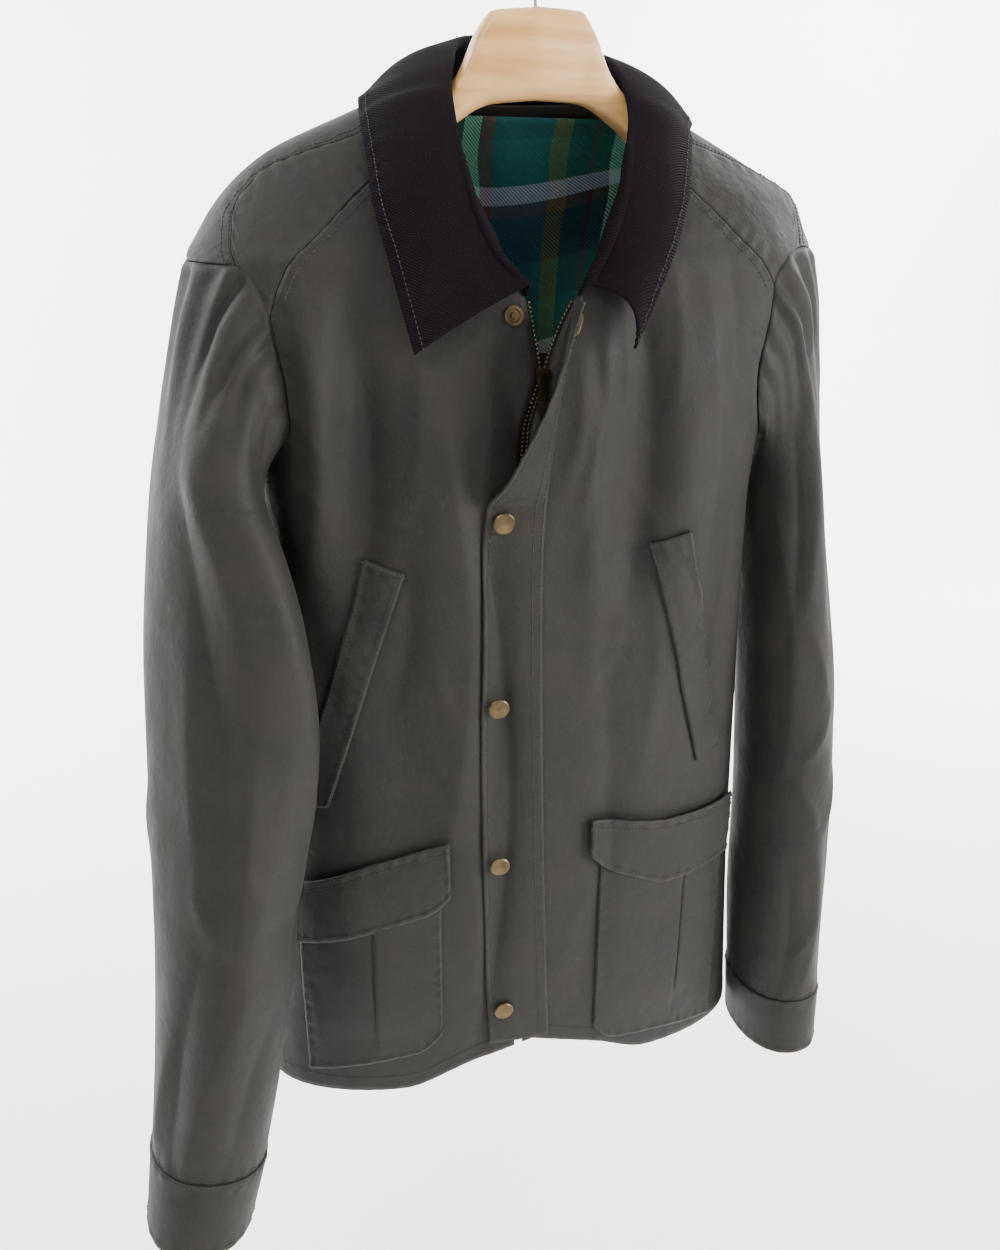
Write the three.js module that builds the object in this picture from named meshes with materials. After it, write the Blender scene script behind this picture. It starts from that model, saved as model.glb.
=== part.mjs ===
// A waxed cotton jacket hanging on a wooden hanger, at its real size.
// The cloth is built as thin walls, one for each piece that is cut and sewn.
import * as THREE from 'three';

// All sizes are in millimetres. x runs to the wearer's left, y to the back and z up, measured from
// the centre front of the neck. The last lines move the origin up to the inside of the hook.
const HOOK_INSIDE = [9, -24, 246];

// Thickness of the cloth with its lining, the loose lining, the ribbed collar and the sewn cuffs.
const CLOTH = 1.4;
const LINING = 1.0;
const COLLAR_WALL = 2.0;
const CUFF_WALL = 2.0;

// Space between pieces that touch, half the space at a seam in height and in degrees round the
// body, and how far a piece laid on the front stands off it.
const GAP = 0.3;
const SEAM = 0.25;
const SEAM_TURN = 0.15;
const LAID = 0.9;

// Body sections, one row a height: half widths to the wearer's right and left, the y of the side
// seams, the depth in front of and behind them, and the roundness exponent of the section.
const SECTIONS = table('z right left sideY front back round', [
  [-690, 224, 222, -24, 92, 92, 2.4],
  [-466, 202, 205, -20, 94, 88, 2.5],
  [-300, 194, 197, -18, 96, 88, 2.5],
  [-170, 191, 190, -16, 99, 90, 2.6],
  [-112, 194, 192, -14, 102, 92, 2.7],
  [-60, 212, 208, -12, 102, 93, 2.8],
  [-20, 226, 225, -10, 100, 92, 2.8],
  [16, 231, 231, -9, 96, 88, 2.6],
  [36, 221, 225, -8, 90, 85, 2.4],
  [60, 203, 216, -7, 80, 80, 2.2],
  [84, 174, 174, -6, 68, 72, 2.1],
  [110, 118, 122, -4, 56, 62, 2.05],
  [126, 80, 88, -3, 46, 52, 2],
  [138, 48, 60, -2, 38, 42, 2],
  [150, 12, 20, 0, 20, 20, 2],
]);

// Large soft folds: where each starts and ends, its half width and its height (below 0 a trough).
// face is 1 on the front and -1 on the back.
const FOLDS = table('face topX topZ endX endZ width height', [
  [1, -150, 30, -165, -240, 17, 6],
  [1, -124, 20, -136, -210, 18, -7],
  [1, -76, -20, -70, -290, 22, 5],
  [1, 62, 0, 66, -230, 20, -8],
  [1, 108, 10, 112, -300, 24, 6],
  [1, 150, -190, 160, -400, 18, -4],
  [-1, -150, 0, -158, -470, 26, -6],
  [-1, -92, 30, -112, -560, 28, 6],
  [-1, -18, 20, -8, -620, 34, -6],
  [-1, 62, 0, 92, -500, 30, 6],
  [-1, 142, -40, 150, -560, 24, -6],
]);

// Seam lines on the body as angle round it (0 is centre front, 90 the side, 180 the centre back)
// and height. The steps along each line are shared by the pieces that meet there.
const NECK = table('step right rightZ left leftZ', [
  [0, 2.1, 0, 2.1, 0], [2, 6, 33, 6, 33], [4, 13, 66, 13, 66], [6, 24, 95, 24, 95],
  [8, 44, 114, 44, 114], [10, 90, 130, 90, 130], [12, 138, 124, 138, 124], [14, 180, 122, 180, 122],
]);
const RAGLAN = table('step right rightZ left leftZ', [
  [0, 26, 97, 26, 97], [2, 33, 68, 28, 70], [4, 38, 35, 33, 44], [7, 46.9, -16, 42, 4],
]);
const FORWARD = table('step right rightZ left leftZ', [
  [0, 44, 114, 44, 114], [2, 50, 94, 50, 96], [3, 60, 84, 60, 88], [4, 69, 73, 69, 78],
  [5, 69, 57, 70, 63], [6, 63, 37, 66, 46], [7, 55.5, 16, 59, 28],
]);
const ARMHOLE = table('step right rightZ left leftZ', [
  [0, 90, 17, 90, 24], [3, 55.5, 16, 59, 28], [6, 46.9, -16, 42, 4], [8, 48, -45, 41.5, -32],
  [10, 52, -80, 47, -72], [12, 68, -106, 66, -104], [13, 90, -112, 90, -112],
  [14, 110, -104, 110, -104], [16, 124, -72, 124, -72], [18, 126, -38, 126, -38],
  [19, 122, -12, 122, -12], [20, 115, 3, 115, 5], [22, 90, 17, 90, 24],
]);

// The steps of the armhole and of the neck line at which the other seams meet them.
const ARM_STEPS = { forward: 3, raglan: 6, underarm: 13, yoke: 19, count: 22 };
const NECK_STEPS = 14;
const NECK_RAGLAN = 6;
const NECK_FORWARD = 8;
const SEAM_STEPS = 7;
const SIDE_STEPS = 10;
const YOKE_ANGLE = 122;
const YOKE_Z = -12;
const UNDERARM_Z = -112;

// Height of the front edge where the slanting seam reaches the armhole, and of its top corner.
const EDGE_Z = -16;
const EDGE_TOP_Z = -2;

// Hem height by distance from the centre, and the x of the zip and the storm flap's seam by height.
const SIDE_X = 236;
const HEM = table('x z', [[0, -618], [60, -636], [110, -656], [180, -660], [240, -664]]);
const ZIP = table('z x open', [
  [-620, -12, 0], [-450, -18, 0], [-300, -21, 0], [-165, -20, 0], [-90, -17, 0], [-52, -7, 0],
  [-25, -4, 6], [5, 1, 17],
]);
const FLAP = table('z seam width lift', [
  [-613, 14, 52, 0], [-446, 6, 50, 0], [-292, 0, 47, 0], [-175, -3, 44, 0], [-142, -2, 43, 4],
  [-115, 0, 42, 34], [-60, 7, 42, 64], [0, 19, 42, 76],
]);

// Sleeve rings from under the shoulder to the wrist: centre, half sizes across and front to back,
// and the turn of the ring. The last two rows are the cuff's seam and its edge.
const RING = 'x y z thin wide turn';
const SLEEVES = {
  right: table(RING, [
    [236, -40, -150, 34, 62, 16], [236, -72, -250, 40, 62, 36], [238, -98, -350, 45, 60, 38],
    [245, -120, -450, 47, 59, 28], [257, -141, -540, 45, 57, 16], [271, -158, -620, 42, 53, 5],
    [282, -170, -672, 38, 51, 0],
  ]),
  left: table(RING, [
    [225, -16, -150, 31, 64, 4], [236, -32, -250, 33, 62, 6], [245, -44, -350, 36, 60, 6],
    [250, -52, -450, 37, 58, 4], [252, -60, -550, 37, 56, 0], [254, -68, -630, 36, 53, 0],
    [255, -74, -684, 35, 51, 0],
  ]),
};
const SLEEVE_ROUND = 2.2;
const CUFF_EASE = 0.9;

// Collar stations from the wearer's right end (-14) round the back (0) to the left end (14):
// the fold line, the outer edge and how far the fall bulges off a straight line.
const COLLAR = table('step foldX foldY foldZ edgeX edgeY edgeZ bulge', [
  [-14, -17, -115, 7, -94, -121, -36, 3],
  [-12, -41, -114, 30, -105, -113, 10, 5],
  [-10, -53, -103, 63, -114, -88, 60, 8],
  [-8, -56, -80, 94, -114, -64, 88, 10],
  [-6, -54, -50, 120, -113, -38, 106, 10],
  [-4, -46, -18, 142, -109, -6, 119, 10],
  [-2, -32, 24, 160, -88, 48, 116, 9],
  [0, 6, 46, 168, 8, 80, 96, 7],
  [2, 50, 26, 160, 106, 50, 114, 9],
  [4, 71, -16, 142, 130, -5, 111, 10],
  [6, 68, -48, 118, 119, -40, 103, 9],
  [8, 61, -76, 92, 107, -72, 79, 8],
  [10, 51, -98, 62, 97, -94, 56, 7],
  [12, 38, -112, 32, 81, -112, 22, 8],
  [14, 24, -116, 9, 54, -126, -33, 14],
]);

// Corners on the front: x and z, inner edge first. side is -1 on the wearer's right.
const WELTS = {
  right: { side: -1, top: [[-101, -187], [-129, -178]], end: [[-160, -380], [-184, -387]] },
  left: { side: 1, top: [[80, -176], [110, -166]], end: [[140, -372], [166, -366]] },
};

// Patch pockets: the x of both edges and of the pleat, the top at the inner edge and how it slopes
// to the outer one, and the heights of the lower corners.
const POCKETS = {
  right: { side: -1, inner: -78, outer: -188, pleat: -132, top: -436, drop: -34, ends: [-612, -640] },
  left: { side: 1, inner: 56, outer: 180, pleat: 134, top: -424, drop: -12, ends: [-632, -652] },
};

// Pocket flaps: x and z of three points on the top edge, and the depth of the flap at each.
const FLAPS = {
  right: { side: -1, tops: [[-71, -408], [-129, -426], [-190, -458]], depths: [60, 64, 56] },
  left: { side: 1, tops: [[44, -403], [108, -416], [184, -420]], depths: [42, 62, 58] },
};
const FLAP_TURN = -141;
const FLAP_OUT = LAID + CLOTH / 2;
const SNAP_RADIUS = 8;
const SNAP_HEIGHTS = [-16, -151, -295, -435, -580];
const SNAP_INSET = 13;
const STUD = [-26, -13];

// Hanger stations along x from its middle: top and bottom heights, and half thickness.
const HANGER = table('x top bottom half', [
  [0, 176, 120, 11], [30, 174, 118, 11], [40, 163, 115, 11.5], [52, 138, 108, 12], [64, 124, 100, 13],
  [90, 107, 78, 14], [125, 88, 58, 15], [160, 64, 36, 16], [196, 36, 10, 16], [206, 26, 6, 15],
]);
const HANGER_Y = [-26, -12];
const HOOK_WIRE = 2;
const HOOK_RADIUS = 22;

function table(names, rows) {
  const keys = names.split(' ');
  return Object.fromEntries(keys.map((key, k) => [key, rows.map((row) => row[k])]));
}

// A smooth curve through the rows of a table that never overshoots them.
function smooth(xs, ys, x) {
  const last = xs.length - 1;
  const at = Math.min(Math.max(x, xs[0]), xs[last]);
  let i = 0;
  while (i < last - 1 && at > xs[i + 1]) i += 1;
  const slope = (k) => (ys[k + 1] - ys[k]) / (xs[k + 1] - xs[k]);
  const tangent = (k) => {
    if (k === 0) return slope(0);
    if (k === last) return slope(last - 1);
    const before = slope(k - 1);
    const after = slope(k);
    return before * after <= 0 ? 0 : (2 * before * after) / (before + after);
  };
  const step = xs[i + 1] - xs[i];
  const t = (at - xs[i]) / step;
  const low = (1 + 2 * t) * (1 - t) ** 2 * ys[i] + t * (1 - t) ** 2 * step * tangent(i);
  const high = t * t * (3 - 2 * t) * ys[i + 1] + t * t * (t - 1) * step * tangent(i + 1);
  return low + high;
}

const lerp = (a, b, t) => a + (b - a) * t;
const radians = (degrees) => (degrees * Math.PI) / 180;
const power = (value, exponent) => Math.sign(value) * Math.abs(value) ** exponent;
const read = (rows, key, column, at) => smooth(rows[key], rows[column], at);
const hemZ = (x) => read(HEM, 'x', 'z', Math.abs(x));

function foldHeight(face, x, z) {
  let height = 0;
  for (let i = 0; i < FOLDS.topX.length; i += 1) {
    const t = (z - FOLDS.topZ[i]) / (FOLDS.endZ[i] - FOLDS.topZ[i]);
    if (FOLDS.face[i] === face && t > 0 && t < 1) {
      const across = (x - lerp(FOLDS.topX[i], FOLDS.endX[i], t)) / FOLDS.width[i];
      height += FOLDS.height[i] * Math.exp(-across * across) * Math.sin(Math.PI * t) ** 0.8;
    }
  }
  return height;
}

// A point of the body's surface by angle and height.
function surface(angle, z) {
  const s = Math.sin(radians(angle));
  const c = Math.cos(radians(angle));
  const round = 2 / read(SECTIONS, 'z', 'round', z);
  const x = read(SECTIONS, 'z', s < 0 ? 'right' : 'left', z) * power(s, round);
  const depth = read(SECTIONS, 'z', c > 0 ? 'front' : 'back', z) * power(c, round);
  const fold = foldHeight(Math.sign(c), x, z) * power(c, 0.5);
  return new THREE.Vector3(x, read(SECTIONS, 'z', 'sideY', z) - depth - fold, z);
}

// The same point moved straight out of the cloth by a distance.
function onBody(angle, z, out) {
  const turn = surface(angle + 0.6, z).sub(surface(angle - 0.6, z));
  const rise = surface(angle, z + 1.5).sub(surface(angle, z - 1.5));
  return surface(angle, z).addScaledVector(turn.cross(rise).normalize(), out);
}

// The angle of a place on the front that is given by x.
function angleAt(x, z) {
  const half = read(SECTIONS, 'z', x < 0 ? 'right' : 'left', z);
  const share = Math.min(Math.abs(x) / half, 1) ** (read(SECTIONS, 'z', 'round', z) / 2);
  return (Math.sign(x) * Math.asin(share) * 180) / Math.PI;
}

const onFront = (x, z, out) => onBody(angleAt(x, z), z, out);

function bodyFrom(points, faces) {
  const geometry = new THREE.BufferGeometry();
  geometry.setAttribute('position', new THREE.Float32BufferAttribute(points.flatMap((p) => p.toArray()), 3));
  geometry.setIndex(faces);
  geometry.computeVertexNormals();
  return geometry;
}

// A wall between two grids of points, closed round its rim. Rows run down, columns run across.
// loop joins the last column to the first, as on a tube.
function wall(outer, inner, loop = false) {
  const rows = outer.length;
  const columns = outer[0].length;
  const faces = [];
  const id = (side, r, c) => side * rows * columns + r * columns + (c % columns);
  const points = [...outer.flat(), ...inner.flat()];
  const quad = (a, b, c, d) => {
    const straight = points[a].distanceTo(points[c]) <= points[b].distanceTo(points[d]);
    faces.push(...(straight ? [a, b, c, a, c, d] : [a, b, d, b, c, d]));
  };
  const spans = loop ? columns : columns - 1;
  for (let r = 0; r < rows - 1; r += 1) {
    for (let c = 0; c < spans; c += 1) {
      quad(id(0, r, c), id(0, r + 1, c), id(0, r + 1, c + 1), id(0, r, c + 1));
      quad(id(1, r, c), id(1, r, c + 1), id(1, r + 1, c + 1), id(1, r + 1, c));
    }
    if (!loop) {
      quad(id(0, r, 0), id(1, r, 0), id(1, r + 1, 0), id(0, r + 1, 0));
      const e = columns - 1;
      quad(id(0, r, e), id(0, r + 1, e), id(1, r + 1, e), id(1, r, e));
    }
  }
  for (let c = 0; c < spans; c += 1) {
    quad(id(0, 0, c), id(0, 0, c + 1), id(1, 0, c + 1), id(1, 0, c));
    const e = rows - 1;
    quad(id(0, e, c), id(1, e, c), id(1, e, c + 1), id(0, e, c + 1));
  }
  return bodyFrom(points, faces);
}

// A wall on the body's surface: place(row, column) gives an angle and a height.
function bodyWall(rows, columns, place, from, to) {
  const layer = (out) => rowsOf(rows, columns, (r, c) => onBody(...place(r, c), out));
  return wall(layer(to), layer(from));
}

function rowsOf(rows, columns, point) {
  const grid = [];
  for (let r = 0; r <= rows; r += 1) {
    grid.push([]);
    for (let c = 0; c <= columns; c += 1) grid[r].push(point(r, c));
  }
  return grid;
}

// A wall of even thickness on each side of a grid of points.
function sheetWall(grid, thickness, loop = false) {
  const rows = grid.length - 1;
  const count = grid[0].length;
  const pick = (r, c) => {
    const column = loop ? (c + count) % count : Math.min(Math.max(c, 0), count - 1);
    return grid[Math.min(Math.max(r, 0), rows)][column];
  };
  const layer = (side) => grid.map((line, r) => line.map((point, c) => {
    const across = pick(r, c + 1).clone().sub(pick(r, c - 1));
    const down = pick(r + 1, c).clone().sub(pick(r - 1, c));
    return point.clone().addScaledVector(down.cross(across).normalize(), (side * thickness) / 2);
  }));
  return wall(layer(1), layer(-1), loop);
}

const group = new THREE.Group();
function add(name, geometry, material) {
  const mesh = new THREE.Mesh(geometry, material);
  mesh.name = name;
  group.add(mesh);
  return mesh;
}

const waxed = new THREE.MeshStandardMaterial({ color: '#43433c', roughness: 0.62, metalness: 0 });
const ribbed = new THREE.MeshStandardMaterial({ color: '#2a1f23', roughness: 0.9, metalness: 0 });
const plaid = new THREE.MeshStandardMaterial({ color: '#0f4a44', roughness: 0.95, metalness: 0 });
const tape = new THREE.MeshStandardMaterial({ color: '#15171c', roughness: 0.85, metalness: 0 });
const brass = new THREE.MeshStandardMaterial({ color: '#8a7350', roughness: 0.4, metalness: 0.9 });
const wood = new THREE.MeshStandardMaterial({ color: '#cda06c', roughness: 0.45, metalness: 0 });
const steel = new THREE.MeshStandardMaterial({ color: '#b9bcc0', roughness: 0.25, metalness: 0.95 });

// A place on a seam line as angle and height, for one side of the body.
function seamAt(line, side, step) {
  const name = side < 0 ? 'right' : 'left';
  return [side * read(line, 'step', name, step), read(line, 'step', `${name}Z`, step)];
}

const between = (a, b, t) => [lerp(a[0], b[0], t), lerp(a[1], b[1], t)];

// Moves a place sideways over the surface by a distance, to open the seams a little.
const HALF_WIDTH = 190;
const shiftX = ([angle, z], distance) => [angle + ((distance / HALF_WIDTH) * 180) / Math.PI, z];

// The front edge beside the zip, and the neck edge above it.
function frontEdge(side, z) {
  const x = read(ZIP, 'z', 'x', z) + side * (3 + read(ZIP, 'z', 'open', z));
  return [angleAt(x, z), z];
}

// Front: from neck and zip to the slanting seam, the armhole and the side seam.
function frontPanel(name, side) {
  const columns = 14;
  const armRows = ARM_STEPS.underarm - ARM_STEPS.raglan;
  const slope = 40;
  const nearPlace = (r, far) => {
    if (r > NECK_RAGLAN) return frontEdge(side, EDGE_Z);
    if (r === NECK_RAGLAN) return frontEdge(side, EDGE_TOP_Z);
    const [angle, z] = neckPlace(side, NECK_RAGLAN - r);
    return [angle, Math.min(z, far[1] - 1)];
  };
  const place = (r, c) => {
    const t = c / columns;
    const below = (r - SEAM_STEPS - armRows) / SIDE_STEPS;
    let far;
    let near;
    if (r <= SEAM_STEPS) {
      far = seamAt(RAGLAN, side, r);
      near = nearPlace(r, far);
    } else if (below <= 0) {
      const arm = r - SEAM_STEPS;
      far = seamAt(ARMHOLE, side, arm + ARM_STEPS.raglan);
      near = frontEdge(side, lerp(EDGE_Z, UNDERARM_Z - slope, arm / armRows));
    } else {
      near = frontEdge(side, lerp(UNDERARM_Z - slope, hemZ(0), below));
      far = [side * 90, lerp(UNDERARM_Z, hemZ(SIDE_X), below)];
    }
    const at = between(shiftX(near, side * SEAM), shiftX(far, -side * SEAM), t);
    const x = surface(at[0], at[1]).x;
    return [at[0], at[1] + Math.max(0, below) * (hemZ(x) - lerp(hemZ(0), hemZ(SIDE_X), t))];
  };
  const turned = (r, c) => place(r, side > 0 ? c : columns - c);
  add(name, bodyWall(SEAM_STEPS + armRows + SIDE_STEPS, columns, turned, -CLOTH, 0), waxed);
}

// A place on the neck line, which meets the front edge at its first steps.
function neckPlace(side, step) {
  const meets = 1.5;
  const [angle, z] = seamAt(NECK, side, step);
  if (step > meets) return [angle, z];
  return between(frontEdge(side, z + EDGE_TOP_Z), [angle, z], step / meets);
}

// Back: one piece from the yoke's seam to the hem, from side seam to side seam.
function backPanel() {
  const columns = 18;
  const arm = ARM_STEPS.yoke - ARM_STEPS.underarm;
  const sag = 60;
  const place = (r, c) => {
    const t = c / columns;
    const step = Math.max(ARM_STEPS.yoke - r, ARM_STEPS.underarm);
    const [edge, edgeZ] = r <= arm ? seamAt(ARMHOLE, 1, step) : [90, UNDERARM_Z];
    const opened = edge + SEAM_TURN / 2;
    const angle = lerp(opened, 360 - opened, t);
    const middle = sag * Math.min(1, r / arm) * Math.sin(Math.PI * t);
    if (r <= arm) return [angle, edgeZ - (r === 0 ? SEAM : 0) - middle];
    const down = (r - arm) / SIDE_STEPS;
    const x = surface(angle, hemZ(0)).x;
    return [angle, lerp(UNDERARM_Z - middle, hemZ(x), down)];
  };
  add('back', bodyWall(arm + SIDE_STEPS, columns, place, -CLOTH, 0), waxed);
}

// Back yoke: from the neck over the shoulders to the forward seams, in stations round the neck.
const YOKE_SIDE = 6;
const YOKE_HALF = 12;
function yokePlace(station, r) {
  const mirror = station < 0 ? 1 : -1;
  const k = YOKE_HALF - Math.abs(station);
  const t = r / SEAM_STEPS;
  const neck = seamAt(NECK, mirror, lerp(NECK_FORWARD, NECK_STEPS, k / YOKE_HALF));
  const onArm = k <= ARM_STEPS.forward ? ARM_STEPS.forward - k : ARM_STEPS.count + ARM_STEPS.forward - k;
  const outer = k <= YOKE_SIDE
    ? seamAt(ARMHOLE, mirror, onArm)
    : [mirror * lerp(YOKE_ANGLE, 180, (k - YOKE_SIDE) / (YOKE_HALF - YOKE_SIDE)), YOKE_Z];
  const seam = seamAt(FORWARD, mirror, r);
  const line = between(seamAt(FORWARD, mirror, 0), seamAt(FORWARD, mirror, SEAM_STEPS), t);
  const bend = Math.max(0, 1 - k / ARM_STEPS.forward);
  const [angle, z] = between(neck, outer, t);
  const opened = k === 0 ? SEAM_TURN * mirror : 0;
  const lift = r === SEAM_STEPS ? SEAM : 0;
  const at = [angle + bend * (seam[0] - line[0]) + opened, z + bend * (seam[1] - line[1]) + lift];
  return [at[0] + (mirror < 0 ? 360 : 0), at[1]];
}

function backYoke() {
  const place = (r, c) => yokePlace(c - YOKE_HALF, r);
  add('back_yoke', bodyWall(SEAM_STEPS, 2 * YOKE_HALF, place, -CLOTH, 0), waxed);
}

// Front yoke: the narrow band between the forward seam and the slanting seam.
function frontYoke(name, side) {
  const rows = 3;
  const place = (r, c) => {
    const step = side > 0 ? c : SEAM_STEPS - c;
    const high = seamAt(FORWARD, side, step);
    const low = seamAt(RAGLAN, side, step);
    const t = r / rows;
    const turn = side * SEAM_TURN;
    if (step === SEAM_STEPS) {
      const arm = seamAt(ARMHOLE, side, ARM_STEPS.forward + r);
      return [arm[0] + turn * (2 * t - 1), lerp(arm[1] - SEAM, arm[1] + SEAM, t)];
    }
    return between([high[0] - turn, high[1] - SEAM], [low[0] + turn, low[1] + SEAM], t);
  };
  add(name, bodyWall(rows, SEAM_STEPS, place, -CLOTH, 0), waxed);
}

// A ring of the sleeve, square to the line through the centres. fall is the depth below the neck.
function sleeveRing(side, rows, fall, ease) {
  const value = (key, at) => read(rows, 'fall', key, at);
  const centre = (at) => new THREE.Vector3(side * value('x', at), value('y', at), -at);
  const axis = centre(fall + 8).sub(centre(fall - 8)).normalize();
  const turn = radians(value('turn', fall));
  const out = new THREE.Vector3(side * Math.cos(turn), -Math.sin(turn), 0);
  out.addScaledVector(axis, -out.dot(axis)).normalize();
  const ahead = axis.clone().cross(out).multiplyScalar(side).normalize();
  const thin = value('thin', fall) + ease;
  const wide = value('wide', fall) + ease;
  return armAngles().map((theta) => centre(fall)
    .addScaledVector(out, thin * power(Math.cos(theta), 2 / SLEEVE_ROUND))
    .addScaledVector(ahead, wide * power(Math.sin(theta), 2 / SLEEVE_ROUND)));
}

function armAngles() {
  const angles = [];
  for (let i = 0; i < ARM_STEPS.count; i += 1) {
    const under = ARM_STEPS.underarm;
    const t = i <= under ? i / under : 1 + (i - under) / (ARM_STEPS.count - under);
    angles.push(t * Math.PI);
  }
  return angles;
}

// Sleeve: from the armhole over the shoulder's end into the first ring, then ring by ring.
function sleeve(side, name) {
  const rows = SLEEVES[name];
  rows.fall = rows.z.map((z) => -z);
  const start = rows.fall[0];
  const seam = rows.fall[rows.fall.length - 2];
  const end = rows.fall[rows.fall.length - 1];
  const first = sleeveRing(side, rows, start, 0);
  const next = sleeveRing(side, rows, start + 10, 0);
  const angles = armAngles();
  const rings = [];
  const capSteps = 5;
  for (let r = 0; r < capSteps; r += 1) {
    rings.push(first.map((point, i) => {
      const from = onBody(...seamAt(ARMHOLE, side, i), -CLOTH / 2);
      const ahead = Math.sin(angles[i]);
      const low = Math.min(1, 1 - Math.cos(angles[i]));
      const leave = new THREE.Vector3(side * (0.3 + 0.6 * low), -0.15 * ahead, 0.5 * low - 0.95);
      leave.normalize();
      const away = from.clone().addScaledVector(leave, CLOTH + 1.2 * Math.max(0, -Math.cos(angles[i])));
      const reach = 0.8 * away.distanceTo(point);
      const arrive = next[i].clone().sub(point).normalize().multiplyScalar(reach);
      return hermite(away, leave.multiplyScalar(reach), point, arrive, r / capSteps);
    }));
  }
  const armSteps = 11;
  for (let r = 0; r <= armSteps; r += 1) {
    rings.push(sleeveRing(side, rows, lerp(start, seam, r / armSteps), 0));
  }
  add(`sleeve_${name}`, sheetWall(facingOut(rings, side), CLOTH, true), waxed);
  const cuffSteps = 2;
  const cuff = [];
  for (let r = 0; r <= cuffSteps; r += 1) {
    cuff.push(sleeveRing(side, rows, lerp(seam + GAP, end, r / cuffSteps), CUFF_EASE));
  }
  add(`cuff_${name}`, sheetWall(facingOut(cuff, side), CUFF_WALL, true), waxed);
}

// Rings are listed so that the wall's outer side faces out on both sides of the body.
const facingOut = (rings, side) => (side < 0 ? rings.map((ring) => [...ring].reverse()) : rings);

function hermite(a, slopeA, b, slopeB, t) {
  const point = a.clone().multiplyScalar((1 + 2 * t) * (1 - t) ** 2);
  point.addScaledVector(slopeA, t * (1 - t) ** 2);
  point.addScaledVector(b, t * t * (3 - 2 * t));
  return point.addScaledVector(slopeB, t * t * (t - 1));
}

// Collar: a stand that rises from the neck seam, the fold, and the fall that lies outside.
function collar() {
  const grid = [];
  const off = 1.8;
  const roll = 3.2;
  const tuck = 1.2;
  const steps = 6;
  for (let step = -NECK_STEPS; step <= NECK_STEPS; step += 1) {
    const side = step <= 0 ? -1 : 1;
    const value = (key) => read(COLLAR, 'step', key, step);
    const place = neckPlace(side, NECK_STEPS - Math.abs(step));
    const foot = onBody(place[0], place[1], -CLOTH / 2);
    const fold = new THREE.Vector3(value('foldX'), value('foldY'), value('foldZ'));
    const edge = new THREE.Vector3(value('edgeX'), value('edgeY'), value('edgeZ'));
    const rise = fold.clone().sub(foot).normalize();
    const fallen = edge.clone().sub(fold).normalize();
    const base = foot.clone().addScaledVector(rise, off);
    const apart = fallen.clone().addScaledVector(rise, -fallen.dot(rise)).normalize();
    const inside = fold.clone().addScaledVector(rise, -roll).addScaledVector(apart, -tuck);
    const outside = fold.clone().addScaledVector(apart, roll).addScaledVector(rise, -tuck);
    const line = [base, base.clone().lerp(inside, 0.5), inside, fold];
    const lift = rise.clone().addScaledVector(fallen, -rise.dot(fallen)).normalize();
    for (let i = 0; i <= steps; i += 1) {
      const t = i / steps;
      line.push(outside.clone().lerp(edge, t).addScaledVector(lift, value('bulge') * 4 * t * (1 - t)));
    }
    grid.push(line);
  }
  add('collar', sheetWall(grid, COLLAR_WALL), ribbed);
}

// Storm flap: flat over the zip below the chest, turning out towards its top.
function flapPoint(z, across, out) {
  const seam = read(FLAP, 'z', 'seam', z);
  const width = read(FLAP, 'z', 'width', z) * across;
  const lift = radians(read(FLAP, 'z', 'lift', z));
  const root = onFront(seam, z, out);
  const flat = onFront(seam - width, z, out);
  const bent = new THREE.Vector3(-width * Math.cos(lift), -width * Math.sin(lift), 0).add(root);
  const fullyOff = 0.25;
  return flat.lerp(bent, Math.min(1, lift / fullyOff));
}

function stormFlap() {
  const turned = 10;
  const flat = 14;
  const columns = 4;
  const grid = rowsOf(turned + flat, columns, (r, c) => {
    const z = r < turned
      ? lerp(EDGE_TOP_Z, FLAP_TURN, r / turned)
      : lerp(FLAP_TURN, hemZ(0) + 3, (r - turned) / flat);
    return flapPoint(z, 1 - c / columns, FLAP_OUT);
  });
  add('storm_flap', sheetWall(grid, CLOTH), waxed);
}

// A patch on the front: place gives the x, the z and the rise of its face at each step down and
// across. Its back lies flat at one distance from the front.
function patch(name, side, rows, columns, place, from, to) {
  const layer = (out, face) => rowsOf(rows, columns, (r, c) => {
    const [x, z, rise] = place(r / rows, (side > 0 ? c : columns - c) / columns);
    return onFront(x, z, out + face * rise);
  });
  add(name, wall(layer(to, 1), layer(from, 0)), waxed);
}

// Welt of a slanting hand pocket, folded double.
function welt(name, { side, top, end }) {
  const place = (down, across) => {
    const [x, z] = between(between(...top, across), between(...end, across), down);
    return [x, z, 0];
  };
  const under = LAID + SEAM_TURN;
  patch(`welt_${name}`, side, 8, 2, place, under, under + 2);
}

// Patch pocket with a box pleat down its middle and a rounded lower inner corner.
function pocket(name, { side, inner, outer, pleat, top, drop, ends }) {
  const columns = 8;
  const middle = columns / 2;
  const thickness = 1.6;
  const cornerUp = 16;
  const cornerWide = 22;
  const pleatDeep = 1.2;
  const place = (down, across) => {
    const column = across * columns;
    const x = column <= middle
      ? lerp(inner, pleat, column / middle)
      : lerp(pleat, outer, column / middle - 1);
    const corner = cornerUp * Math.max(0, 1 - Math.abs(x - inner) / cornerWide) ** 2;
    const z = lerp(top + drop * across, lerp(...ends, across) + corner, down);
    const full = thickness * Math.sin(Math.PI * across) - (column === middle ? pleatDeep : 0);
    return [x, z, full * Math.sin(Math.PI * Math.min(1, down + 0.15))];
  };
  patch(`pocket_${name}`, side, 6, columns, place, LAID, LAID + thickness);
}

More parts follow.
